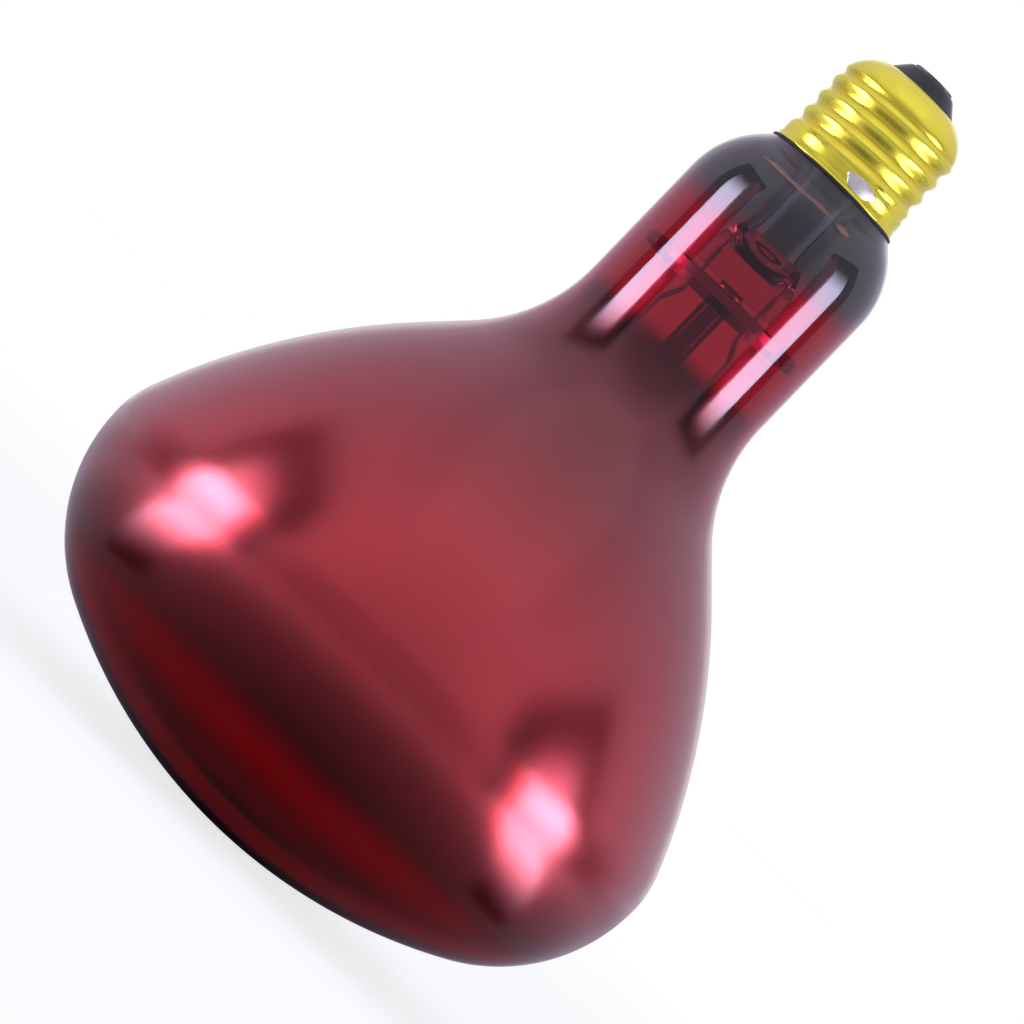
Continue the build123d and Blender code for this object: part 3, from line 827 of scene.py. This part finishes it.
class LAMP_OT_screw_shell(LampOperator):
    """Turn the brass shell and roll its thread"""

    bl_idname = "lamp.screw_shell"
    bl_label = "Screw shell"

    def execute(self, context):
        cap, finish = context.scene.lamp_cap, context.scene.lamp_finish
        seat_rise, edge_lift, edge_setback, edge_round = 0.66 * MM, 0.02 * MM, 0.15 * MM, 0.2 * MM
        edge_heading, edge_turn = math.radians(40), math.radians(100)
        flare, bend, rolled_foot, rolled_stop, rows = 0.12 * MM, 0.3 * MM, 1.0 * MM, 0.8 * MM, 110
        start_margin, stop_margin, runout = 0.4 * MM, 0.2 * MM, 1.8 * MM
        material = brass_sheet(finish, cap)
        foot, top = SHELL_LOW.z, SHELL_HIGH.z
        band_foot, band_top = foot + cap.lip_height, foot + cap.band_top
        thread_stop = top - cap.dome_height
        mean = (cap.crest_radius + cap.root_radius) / 2
        crown_radius = cap.nose_radius + cap.fit_gap
        dome_foot = INSULATOR_HIGH.x + cap.fit_gap + cap.sheet
        lip_bore = cap.band_radius - cap.sheet
        outer = [(lip_bore, foot + seat_rise), (cap.lip_radius - edge_setback, foot + edge_lift)]
        arc(outer, edge_heading, edge_round, edge_turn, steps=8)
        run(outer, (cap.band_radius + flare, band_foot - bend), steps=3)
        run(outer, (cap.band_radius, band_foot), steps=2)
        run(outer, (cap.band_radius, band_top - bend), steps=4)
        run(outer, (mean, band_top + rolled_foot), steps=10)
        run(outer, (mean, thread_stop - rolled_stop), steps=rows)
        run(outer, (dome_foot, thread_stop), steps=10)
        bow(outer, (crown_radius, top), cap.dome_radius, steps=20)
        inner = [(crown_radius, top - cap.sheet)]
        bow(inner, (dome_foot - cap.sheet, thread_stop), cap.sheet - cap.dome_radius, steps=12)
        run(inner, (mean - cap.sheet, thread_stop - rolled_stop), steps=4)
        run(inner, (mean - cap.sheet, band_top + rolled_foot), steps=rows)
        run(inner, (lip_bore, band_top - bend), steps=4)
        piece = lathe("screw_shell_visual", outer + inner, cap.segments)
        values = {
            "Pitch": cap.pitch,
            "Depth": cap.crest_radius - cap.root_radius,
            "Crest Level": cap.crest_level,
            "Start": band_top - start_margin,
            "Stop": thread_stop - stop_margin,
            "Runout": runout,
            "Material": material,
        }
        apply_tree(piece, rolled_thread_tree(), values)
        finish_piece(piece, material, "brass", "screw_shell")
        return {"FINISHED"}


class LAMP_OT_cap_nose(LampOperator):
    """Turn the black glass nose and the eyelet's solder, and give the eyelet its brass"""

    bl_idname = "lamp.cap_nose"
    bl_label = "Cap nose"

    def execute(self, context):
        cap, finish = context.scene.lamp_cap, context.scene.lamp_finish
        self.insulator(cap, finish)
        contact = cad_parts["centre_contact"]
        contact.data.materials.clear()
        brass = drawn_metal("Tarnished brass", finish.contact, low=0.35, high=0.55, scale=200.0)
        contact.data.materials.append(brass)
        self.solder_tip(finish)
        return {"FINISHED"}

    def insulator(self, cap, finish):
        """The plug inside the shell and the tapered nose with its flat end."""
        foot, top, crown = INSULATOR_LOW.z, INSULATOR_HIGH.z, SHELL_HIGH.z
        plug, nose = INSULATOR_HIGH.x, cap.nose_radius
        outline = [(cap.contact_hole, foot), (plug, foot), (plug, crown - cap.dome_height - cap.fit_gap)]
        skin = cap.sheet + cap.fit_gap
        bow(outline, (nose, crown - skin), cap.dome_radius - skin, steps=12)
        outline.append((nose, crown))
        lean = math.atan2(top - crown, cap.nose_flat - nose)
        setback = cap.nose_round * math.tan((math.pi - lean) / 2)
        edge = (cap.nose_flat - setback * math.cos(lean), top - setback * math.sin(lean))
        run(outline, edge, steps=8)
        arc(outline, lean, cap.nose_round, math.pi - lean, steps=6)
        outline.append((cap.contact_hole, top))
        piece = lathe("insulator_visual", outline, cap.segments)
        finish_piece(piece, black_glass(finish), "black_glass", "insulator")

    def solder_tip(self, finish):
        """The solder that fills the eyelet's tube and stands over it as a low dome."""
        plug_radius, segments = 1.6 * MM, 64
        tip_radius, foot, base = SOLDER_HIGH.x, SOLDER_LOW.z, CONTACT_HIGH.z
        rise = SOLDER_HIGH.z - base
        sphere = (tip_radius**2 + rise**2) / (2 * rise)
        spread = math.asin(tip_radius / sphere)
        dome = [(0.0, foot), (plug_radius, foot), (plug_radius, base), (tip_radius, base)]
        arc(dome, math.pi - spread, sphere, spread, steps=10)
        dome[-1] = (0.0, dome[-1][1])
        tip = lathe("contact_solder_visual", dome, segments)
        finish_piece(tip, dull_solder(finish), "solder", "contact_solder")


class LAMP_OT_side_solder(LampOperator):
    """Pool the solder over the side wire's hole"""

    bl_idname = "lamp.side_solder"
    bl_label = "Side solder"

    def execute(self, context):
        cap = context.scene.lamp_cap
        lip_straight, sunk_share, rings, spokes = 0.5 * MM, 0.6, 9, 48
        edge_mean, edge_waves = 0.92, ((0.06, 3, 0.6), (0.04, 5, 0.0))
        ripple_mean, ripple_swing, ripple_rate, ripple_phase = 0.85, 0.15, 900, 1
        low, high = SHELL_LOW.z + cap.solder_foot, SHELL_LOW.z + cap.solder_top
        level, half_height = (low + high) / 2, (high - low) / 2
        half_width = cap.solder_width / 2
        band_foot = SHELL_LOW.z + cap.lip_height
        flare = (cap.lip_radius - cap.band_radius) / (cap.lip_height - lip_straight)
        top, base = [], []
        for ring in range(rings + 1):
            share = ring / rings
            for spoke in range(spokes):
                at = 2 * math.pi * spoke / spokes
                waves = (swing * math.sin(lobes * at + phase) for swing, lobes, phase in edge_waves)
                lump = sum(waves, edge_mean)
                across = half_width * share * lump * math.cos(at)
                height = level + half_height * share * lump * math.sin(at)
                ripple = ripple_mean + ripple_swing * math.sin(ripple_rate * across + ripple_phase)
                swell = cap.solder_bulge * math.sqrt(max(0.0, 1 - share**2)) * ripple
                turn = cap.solder_azimuth + across / cap.band_radius
                skin = cap.band_radius + max(0.0, band_foot - height) * flare
                for layer, reach in ((top, skin + swell), (base, skin - cap.sheet * sunk_share)):
                    layer.append((reach * math.cos(turn), reach * math.sin(turn), height))
        verts = top + base
        faces = []
        shift = len(top)
        for ring in range(rings):
            for spoke in range(spokes):
                after = (spoke + 1) % spokes
                a, b = ring * spokes + spoke, ring * spokes + after
                c, d = a + spokes, b + spokes
                faces.append((a, c, d, b))
                faces.append((shift + a, shift + b, shift + d, shift + c))
        edge = rings * spokes
        for spoke in range(spokes):
            after = (spoke + 1) % spokes
            faces.append((edge + spoke, shift + edge + spoke, shift + edge + after, edge + after))
        mesh = bpy.data.meshes.new("side_solder_visual")
        mesh.from_pydata(verts, [], faces)
        weld(mesh)
        mesh.shade_smooth()
        piece = new_object("side_solder_visual", mesh)
        finish_piece(piece, bpy.data.materials["Solder"], "solder", "side_solder")
        return {"FINISHED"}


class LAMP_OT_lip_shade_and_smears(LampOperator):
    """Lay a near-black ring under the lip as painted shade, and the cement smeared on the glass"""

    bl_idname = "lamp.cap_seal"
    bl_label = "Cap seal"

    def execute(self, context):
        cap, bulb, finish = context.scene.lamp_cap, context.scene.lamp_bulb, context.scene.lamp_finish
        clear, bevel = 0.02 * MM, 0.12 * MM
        # Painted shade: a near-black ring under the lip, for the shadowed gap between lip and glass
        high, low = SHELL_LOW.z - clear, SHELL_LOW.z - cap.lip_shade_depth
        ring = [(glass_radius(bulb, low) + clear, low), (cap.lip_shade_radius, low + bevel)]
        ring += [(cap.lip_shade_radius, high - bevel), (cap.lip_shade_radius - bevel, high)]
        ring.append((glass_radius(bulb, high) + clear, high))
        piece = lathe("lip_seal", ring, cap.segments)
        finish_piece(piece, matte_grained("Dark cement", finish.lip_gap_shade), "cement")
        paste = matte_grained("Smeared cement", finish.smear)
        smears = ((-12.2 * MM, 3.8 * MM, 0.52 * MM), (4.9 * MM, 7.9 * MM, 0.6 * MM))
        for number, (start, stop, thick) in enumerate(smears, 1):
            piece = self.smear(cap, bulb, f"cement_smear_{number}", start, stop, thick)
            finish_piece(piece, paste, "cement")
        return {"FINISHED"}

    def smear(self, cap, bulb, name, start, stop, thick):
        """An uneven smear of cement on the glass, from one place across the front to another."""
        flatness, proud_share, steps, sides, sample = 0.2, 0.8, 40, 10, 0.3 * MM
        waves, wave_mean, wave_swing = ((1.0, 1.3, 0.0), (0.6, 3.1, 0.7)), 0.85, 0.15
        end_share, end_growth = 0.15, 6
        wander, wander_rate, wander_phase = 0.1 * MM, 0.6, 1.0
        centres, normals, radii = [], [], []
        for step in range(steps + 1):
            share = step / steps
            across = start + (stop - start) * share
            wave = sum(swing * math.sin(across / MM * rate + phase) for swing, rate, phase in waves)
            fullness = min(1.0, end_share + end_growth * share * (1 - share))
            radius = thick * (wave_mean + wave_swing * wave) * fullness
            height = cap.bead_level + wander * math.sin(across / MM * wander_rate + wander_phase)
            wall = glass_radius(bulb, height)
            narrowing = glass_radius(bulb, height - sample) - glass_radius(bulb, height + sample)
            lean = math.atan2(narrowing, 2 * sample)
            foot = Vector((across, -math.sqrt(wall**2 - across**2), 0.0))
            outward = foot.normalized() * math.cos(lean) + Vector((0.0, 0.0, math.sin(lean)))
            centres.append(foot + Vector((0.0, 0.0, height)) + outward * flatness * radius * proud_share)
            normals.append(outward)
            radii.append(radius)
        return bead(name, centres, normals, radii, flatness, sides)


def filament_path(coil):
    """Corners of the filament from lead to lead, with a bend at each support."""
    bend_steps = 4
    level = (FILAMENT_LOW.z + FILAMENT_HIGH.z) / 2
    first = coil.gap_angle / 2 - math.pi / 2
    step = (2 * math.pi - coil.gap_angle) / (coil.supports + 1)
    corners = []
    for number in range(coil.supports + 2):
        at = first + step * number
        corners.append(Vector((coil.ring_radius * math.cos(at), coil.ring_radius * math.sin(at), level)))
    start = corners[0] + (corners[1] - corners[0]).normalized() * coil.end_gap
    end = corners[-1] + (corners[-2] - corners[-1]).normalized() * coil.end_gap
    points = [start]
    setback = coil.corner_round * math.tan(step / 2)
    for before, corner, after in zip(corners, corners[1:], corners[2:]):
        enter = corner + (before - corner).normalized() * setback
        leave = corner + (after - corner).normalized() * setback
        for number in range(bend_steps + 1):
            share = number / bend_steps
            points.append(enter.lerp(corner, share).lerp(corner.lerp(leave, share), share))
    return points + [end]


class LAMP_OT_filament(LampOperator):
    """Wind the tungsten coil along its supports"""

    bl_idname = "lamp.filament"
    bl_label = "Filament"

    def execute(self, context):
        coil, finish = context.scene.lamp_filament, context.scene.lamp_finish
        points_per_turn = 14
        points = filament_path(coil)
        mesh = bpy.data.meshes.new("filament_visual")
        mesh.from_pydata(points, [(number, number + 1) for number in range(len(points) - 1)], [])
        piece = new_object("filament_visual", mesh)
        material = drawn_metal("Tungsten", finish.tungsten, low=0.35, high=0.5, scale=300.0)
        values = {
            "Turns": float(coil.turns),
            "Points": float(coil.turns * points_per_turn),
            "Coil Radius": coil.coil_radius,
            "Wire Radius": coil.wire_radius,
            "Material": material,
        }
        apply_tree(piece, coil_tree(), values)
        finish_piece(piece, material, "tungsten", "filament")
        return {"FINISHED"}


class LAMP_OT_inner_works(LampOperator):
    """Finish the stem, wires, shield and cement"""

    bl_idname = "lamp.inner_works"
    bl_label = "Inner works"

    def execute(self, context):
        finish = context.scene.lamp_finish
        glass = drawn_glass("Clear glass", finish.clear_glass)
        nickel = drawn_metal("Nickel wire", finish.nickel, low=0.25, high=0.4, scale=300.0)
        copper = drawn_metal("Copper wire", finish.copper, low=0.25, high=0.4, scale=300.0)
        molybdenum = drawn_metal("Molybdenum wire", finish.molybdenum, low=0.3, high=0.45, scale=300.0)
        finishes = {
            "stem": glass,
            "exhaust_tube": glass,
            "arbor": drawn_glass("Arbor glass", finish.arbor),
            "heat_shield": drawn_metal("Heat shield", finish.shield, low=0.22, high=0.36, scale=120.0),
            "cement": matte_grained("Cement", finish.cement),
            "inner_lead_left": nickel,
            "inner_lead_right": nickel,
            "centre_wire": copper,
            "side_wire": copper,
        }
        for number in range(1, context.scene.lamp_filament.supports + 1):
            finishes[f"support_wire_{number}"] = molybdenum
        for name, material in finishes.items():
            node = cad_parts[name]
            node.data.materials.clear()
            node.data.materials.append(material)
        return {"FINISHED"}


# Stage

def matte(name):
    """A finish without gloss, for papers and cards."""
    made = Finish(name, roughness=0.9)
    made.shader.inputs["Specular IOR Level"].default_value = 0.0
    return made


def blend_shader(made, share, shader):
    """Mixes another shader over a finish by a share."""
    blend = made.build.add("ShaderNodeMixShader")
    made.build.feed(blend.inputs[0], share)
    made.build.links.new(made.shader.outputs[0], blend.inputs[1])
    made.build.links.new(shader.outputs[0], blend.inputs[2])
    made.build.links.new(blend.outputs[0], made.build.nodes["Material Output"].inputs["Surface"])


def paper_material(name, finish, near_white):
    """Paper, white to the lens, glass and metal from some way off, with the lamp's shadow on it close by."""
    shadow_reach, white_reach = 0.15, 0.8
    made = matte(name)
    made.feed("Base Color", (*finish.paper, 1.0))
    glow = made.build.add("ShaderNodeEmission")
    glow.inputs["Color"].default_value = (1.0, 1.0, 1.0, 1.0)
    glow.inputs["Strength"].default_value = 1.0
    rays = made.build.add("ShaderNodeLightPath")
    seen = made.build.math("MAXIMUM", rays.outputs["Is Camera Ray"], rays.outputs["Is Glossy Ray"])
    seen = made.build.math("MAXIMUM", seen, rays.outputs["Is Transmission Ray"])
    where = made.build.add("ShaderNodeTexCoord").outputs["Object"]
    far = made.build.add("ShaderNodeVectorMath", operation="LENGTH")
    made.build.links.new(where, far.inputs[0])
    away = made.build.smooth_step(far.outputs["Value"], shadow_reach, white_reach)
    white = made.build.math("MULTIPLY_ADD", away, 1.0 - near_white, near_white)
    blend_shader(made, made.build.math("MULTIPLY", seen, white), glow)
    return made.material


def light_material(name, tint, strength, axis, dim, bright, foot_share=1.0):
    """A glowing card that dims towards one end, and has only a share of its light at the other."""
    made = Finish(name)
    place = made.place()[axis]
    level = made.build.smooth_step(place, dim, bright)
    risen = made.build.smooth_step(place, 0.0, bright)
    share = made.build.math("MULTIPLY_ADD", risen, 1.0 - foot_share, foot_share)
    level = made.build.math("MULTIPLY", level, share)
    glow = made.build.add("ShaderNodeEmission")
    glow.inputs["Color"].default_value = (*tint, 1.0)
    made.build.links.new(made.build.math("MULTIPLY", level, strength), glow.inputs["Strength"])
    made.build.links.new(glow.outputs[0], made.build.nodes["Material Output"].inputs["Surface"])
    return made.material


def flag_material(finish, stage):
    """A dark flag that thins out upwards and towards its back end."""
    full_share, thin_start, thin_end = 0.2, 0.02, 0.24
    made = matte("Low flag")
    made.feed("Base Color", (*finish.flag, 1.0))
    build, place = made.build, made.place()
    upward = build.smooth_step(place["Z"], stage.flag_height * full_share, stage.flag_height)
    backward = build.smooth_step(place["Y"], thin_start, thin_end)
    left = build.math("MULTIPLY", build.rest(upward), build.rest(backward))
    blend_shader(made, build.rest(left), build.add("ShaderNodeBsdfTransparent"))
    return made.material


class LAMP_OT_stage(LampOperator):
    """Set the floor, backdrop, lights and camera"""

    bl_idname = "lamp.stage"
    bl_label = "Stage"

    def execute(self, context):
        scene, stage, finish = context.scene, context.scene.lamp_stage, context.scene.lamp_finish
        scene.view_settings.view_transform = "Standard"
        self.paper(stage, finish)
        self.dark_card(finish)
        border = matte("Dark border")
        border.feed("Base Color", (*finish.flag, 1.0))
        soft = flag_material(finish, stage)
        for side, name in ((-1, "left"), (1, "right")):
            self.softbox(stage, finish, side, name, border.material)
            self.low_flag(stage, side, name, soft)
            self.table_light(stage, finish, side, name)
        self.top_light(scene)
        self.world(scene)
        self.camera(scene, stage)
        return {"FINISHED"}

    def card(self, name, verts, faces, material):
        """A flat piece of the stage."""
        mesh = bpy.data.meshes.new(name)
        mesh.from_pydata(verts, [], faces)
        mesh.materials.append(material)
        return new_object(name, mesh)

    def upright(self, name, foot, along, height, widths, material):
        """A standing card with one width at its foot and another at its top."""
        rise = Vector((0.0, 0.0, height))
        wide, narrow = along * widths[0] / 2, along * widths[1] / 2
        verts = [foot - wide, foot + wide, foot + rise + narrow, foot + rise - narrow]
        return self.card(name, verts, [(0, 1, 2, 3)], material)

    def hide_from_lens(self, card):
        """Leaves a card in the reflections alone."""
        card.visible_camera = False
        card.visible_shadow = False
        card.visible_diffuse = False

    def facing(self, side, azimuth):
        """The way out from the axis, turned to one side from the lens, and the way along a card there."""
        out = Vector((side * math.sin(azimuth), -math.cos(azimuth), 0.0))
        return out, Vector((0.0, 0.0, 1.0)).cross(out)

    def paper(self, stage, finish):
        """The round floor and the curved backdrop behind the lamp."""
        around, steps, near_white = 96, 32, 0.78
        rim = []
        for step in range(around):
            at = 2 * math.pi * step / around
            rim.append((stage.room_radius * math.cos(at), stage.room_radius * math.sin(at), 0.0))
        floor_paper = paper_material("Floor paper", finish, near_white)
        floor = self.card("floor", rim, [tuple(range(around))], floor_paper)
        verts, faces = [], []
        for step in range(steps + 1):
            at = math.pi / 2 + stage.backdrop_half_angle * (1 - 2 * step / steps)
            foot = (stage.room_radius * math.cos(at), stage.room_radius * math.sin(at))
            verts += [(*foot, 0.0), (*foot, stage.room_height)]
        for step in range(steps):
            faces.append((2 * step, 2 * step + 2, 2 * step + 3, 2 * step + 1))
        backdrop = self.card("backdrop", verts, faces, paper_material("Backdrop paper", finish, 1.0))

    def dark_card(self, finish):
        """The card on the floor that keeps the face dark. It grows pale with distance."""
        centre, pale_reach, white_start, white_end = (0.0, -0.05, 0.0), 0.24, 0.2, 1.2
        reach, lift = 3.1, 0.05 * MM
        made = matte("Dark card")
        where = made.build.add("ShaderNodeTexCoord").outputs["Object"]
        far = made.build.add("ShaderNodeVectorMath", operation="DISTANCE")
        made.build.links.new(where, far.inputs[0])
        far.inputs[1].default_value = centre
        paler = made.build.add("ShaderNodeMapRange")
        made.build.links.new(far.outputs["Value"], paler.inputs["Value"])
        paler.inputs["From Max"].default_value = pale_reach
        near = made.mix(paler.outputs["Result"], tuple(finish.flag), tuple(finish.pale_flag))
        distant = made.build.smooth_step(far.outputs["Value"], white_start, white_end)
        made.feed("Base Color", made.mix(distant, near, tuple(finish.paper)))
        verts = [(-reach, -reach, lift), (reach, -reach, lift), (reach, reach, lift), (-reach, reach, lift)]
        self.hide_from_lens(self.card("dark_card", verts, [(0, 1, 2, 3)], made.material))

    def softbox(self, stage, finish, side, name, border_material):
        """A standing side light with a dark border behind it."""
        full_level, foot_share, gap = 0.12, 0.6, 0.02
        out, along = self.facing(side, stage.softbox_azimuth)
        foot, tall, border = out * stage.softbox_distance, stage.softbox_height, stage.softbox_border
        title, brightness = f"Softbox {name}", stage.light_strength
        glow = light_material(title, finish.light, brightness, "Z", tall, full_level, foot_share)
        widths = (stage.softbox_width, stage.softbox_top)
        upright = self.upright(f"softbox_{name}", foot, along, tall, widths, glow)
        upright.visible_camera = False
        wider = (widths[0] + 2 * border, widths[1] + 2 * border)
        behind = foot + out * gap
        card = self.upright(f"dark_border_{name}", behind, along, tall + border, wider, border_material)
        self.hide_from_lens(card)

    def low_flag(self, stage, side, name, material):
        """A low dark flag beside the lamp."""
        out, along = self.facing(side, stage.flag_azimuth)
        foot, widths = out * stage.softbox_distance, (stage.flag_width, stage.flag_width)
        flag = self.upright(f"low_flag_{name}", foot, along, stage.flag_height, widths, material)
        self.hide_from_lens(flag)

    def table_light(self, stage, finish, side, name):
        """A light that lies on the floor and widens away from the lamp."""
        lift = Vector((0.0, 0.0, 0.3 * MM))
        reach, sideways = self.facing(side, stage.table_azimuth)
        spread = sideways * math.tan(stage.table_spread)
        near, end = stage.table_near, stage.softbox_distance
        corners = [(reach - spread) * near + lift, (reach + spread) * near + lift]
        corners += [(reach + spread) * end + lift, (reach - spread) * end + lift]
        title, brightness = f"Table light {name}", stage.table_strength
        dim, bright = side * near, side * (near + stage.table_fade)
        glow = light_material(title, finish.light, brightness, "X", dim, bright)
        self.hide_from_lens(self.card(f"table_light_{name}", corners, [(0, 1, 2, 3)], glow))

    def top_light(self, scene):
        """A weak, wide light from above."""
        data = bpy.data.lights.new("top_light", "AREA")
        data.size = 1.2
        data.energy = 1.0
        light = bpy.data.objects.new("top_light", data)
        scene.collection.objects.link(light)
        light.location = (0.0, -0.3, 1.6)
        light.visible_camera = False

    def world(self, scene):
        """The room's light, graded by height and dimmer behind the lens."""
        levels = ((0.0, 0.6), (0.55, 0.68), (0.8, 0.82), (0.9, 0.76), (1.0, 0.62))
        green_share, blue_share = 0.92, 1.17
        dim_start, dim_end, dimming = 0.5, 0.85, 0.33
        world = bpy.data.worlds.new("Studio")
        world.use_nodes = True
        build = Tree(world.node_tree)
        place = build.add("ShaderNodeSeparateXYZ")
        build.links.new(build.add("ShaderNodeTexCoord").outputs["Generated"], place.inputs[0])
        ramp = build.add("ShaderNodeValToRGB")
        build.links.new(place.outputs["Z"], ramp.inputs["Fac"])
        while len(ramp.color_ramp.elements) < len(levels):
            ramp.color_ramp.elements.new(0.5)
        for element, (position, level) in zip(ramp.color_ramp.elements, levels):
            element.position = position
            element.color = (level, level * green_share, level * blue_share, 1.0)
        sky = build.nodes["Background"]
        build.links.new(ramp.outputs["Color"], sky.inputs["Color"])
        forward = build.math("MULTIPLY", place.outputs["Y"], -1.0)
        towards_lens = build.smooth_step(forward, dim_start, dim_end)
        build.links.new(build.math("MULTIPLY_ADD", towards_lens, -dimming, 1.0), sky.inputs["Strength"])
        scene.world = world

    def camera(self, scene, stage):
        """The photograph's view, with the lamp's axis leaning across the picture."""
        data = bpy.data.cameras.new("camera")
        data.sensor_width = 36.0
        data.lens = data.sensor_width * stage.camera_distance / stage.frame_width
        data.clip_start, data.clip_end = 0.01, 20.0
        camera = bpy.data.objects.new("camera", data)
        scene.collection.objects.link(camera)
        lean, rise = math.cos(stage.axis_tilt), math.sin(stage.axis_tilt)
        right = Vector((rise, 0.0, lean))
        up = Vector((-lean, 0.0, rise))
        back = Vector((0.0, -1.0, 0.0))
        turn = Matrix((right, up, back)).transposed().to_4x4()
        place = Vector((stage.camera_side, -stage.camera_distance, stage.camera_level))
        camera.matrix_world = Matrix.Translation(place) @ turn
        scene.camera = camera


# Add-on

OPERATORS = (
    LAMP_OT_glass_bulb,
    LAMP_OT_reflector_film,
    LAMP_OT_screw_shell,
    LAMP_OT_cap_nose,
    LAMP_OT_side_solder,
    LAMP_OT_lip_shade_and_smears,
    LAMP_OT_filament,
    LAMP_OT_inner_works,
    LAMP_OT_stage,
)


class LAMP_PT_panel(bpy.types.Panel):
    """Lists the lamp's pieces and settings"""

    bl_idname = "LAMP_PT_panel"
    bl_label = "Heat lamp"
    bl_space_type = "VIEW_3D"
    bl_region_type = "UI"
    bl_category = "Heat lamp"

    def draw(self, context):
        for operator in OPERATORS:
            self.layout.operator(operator.bl_idname)
        for name, group in SETTINGS.items():
            box = self.layout.box()
            for key in group.__annotations__:
                box.prop(getattr(context.scene, name), key)


def register():
    """Adds the settings, operators and panel."""
    for group in SETTINGS.values():
        bpy.utils.register_class(group)
    for operator in OPERATORS:
        bpy.utils.register_class(operator)
    bpy.utils.register_class(LAMP_PT_panel)
    for name, group in SETTINGS.items():
        setattr(bpy.types.Scene, name, PointerProperty(type=group))


def unregister():
    """Takes them away again."""
    for name in SETTINGS:
        delattr(bpy.types.Scene, name)
    bpy.utils.unregister_class(LAMP_PT_panel)
    for operator in reversed(OPERATORS):
        bpy.utils.unregister_class(operator)
    for group in reversed(SETTINGS.values()):
        bpy.utils.unregister_class(group)


def main():
    """Builds every piece and the stage."""
    register()
    for operator in OPERATORS:
        family, name = operator.bl_idname.split(".")
        getattr(getattr(bpy.ops, family), name)()


if __name__ == "__main__":
    main()
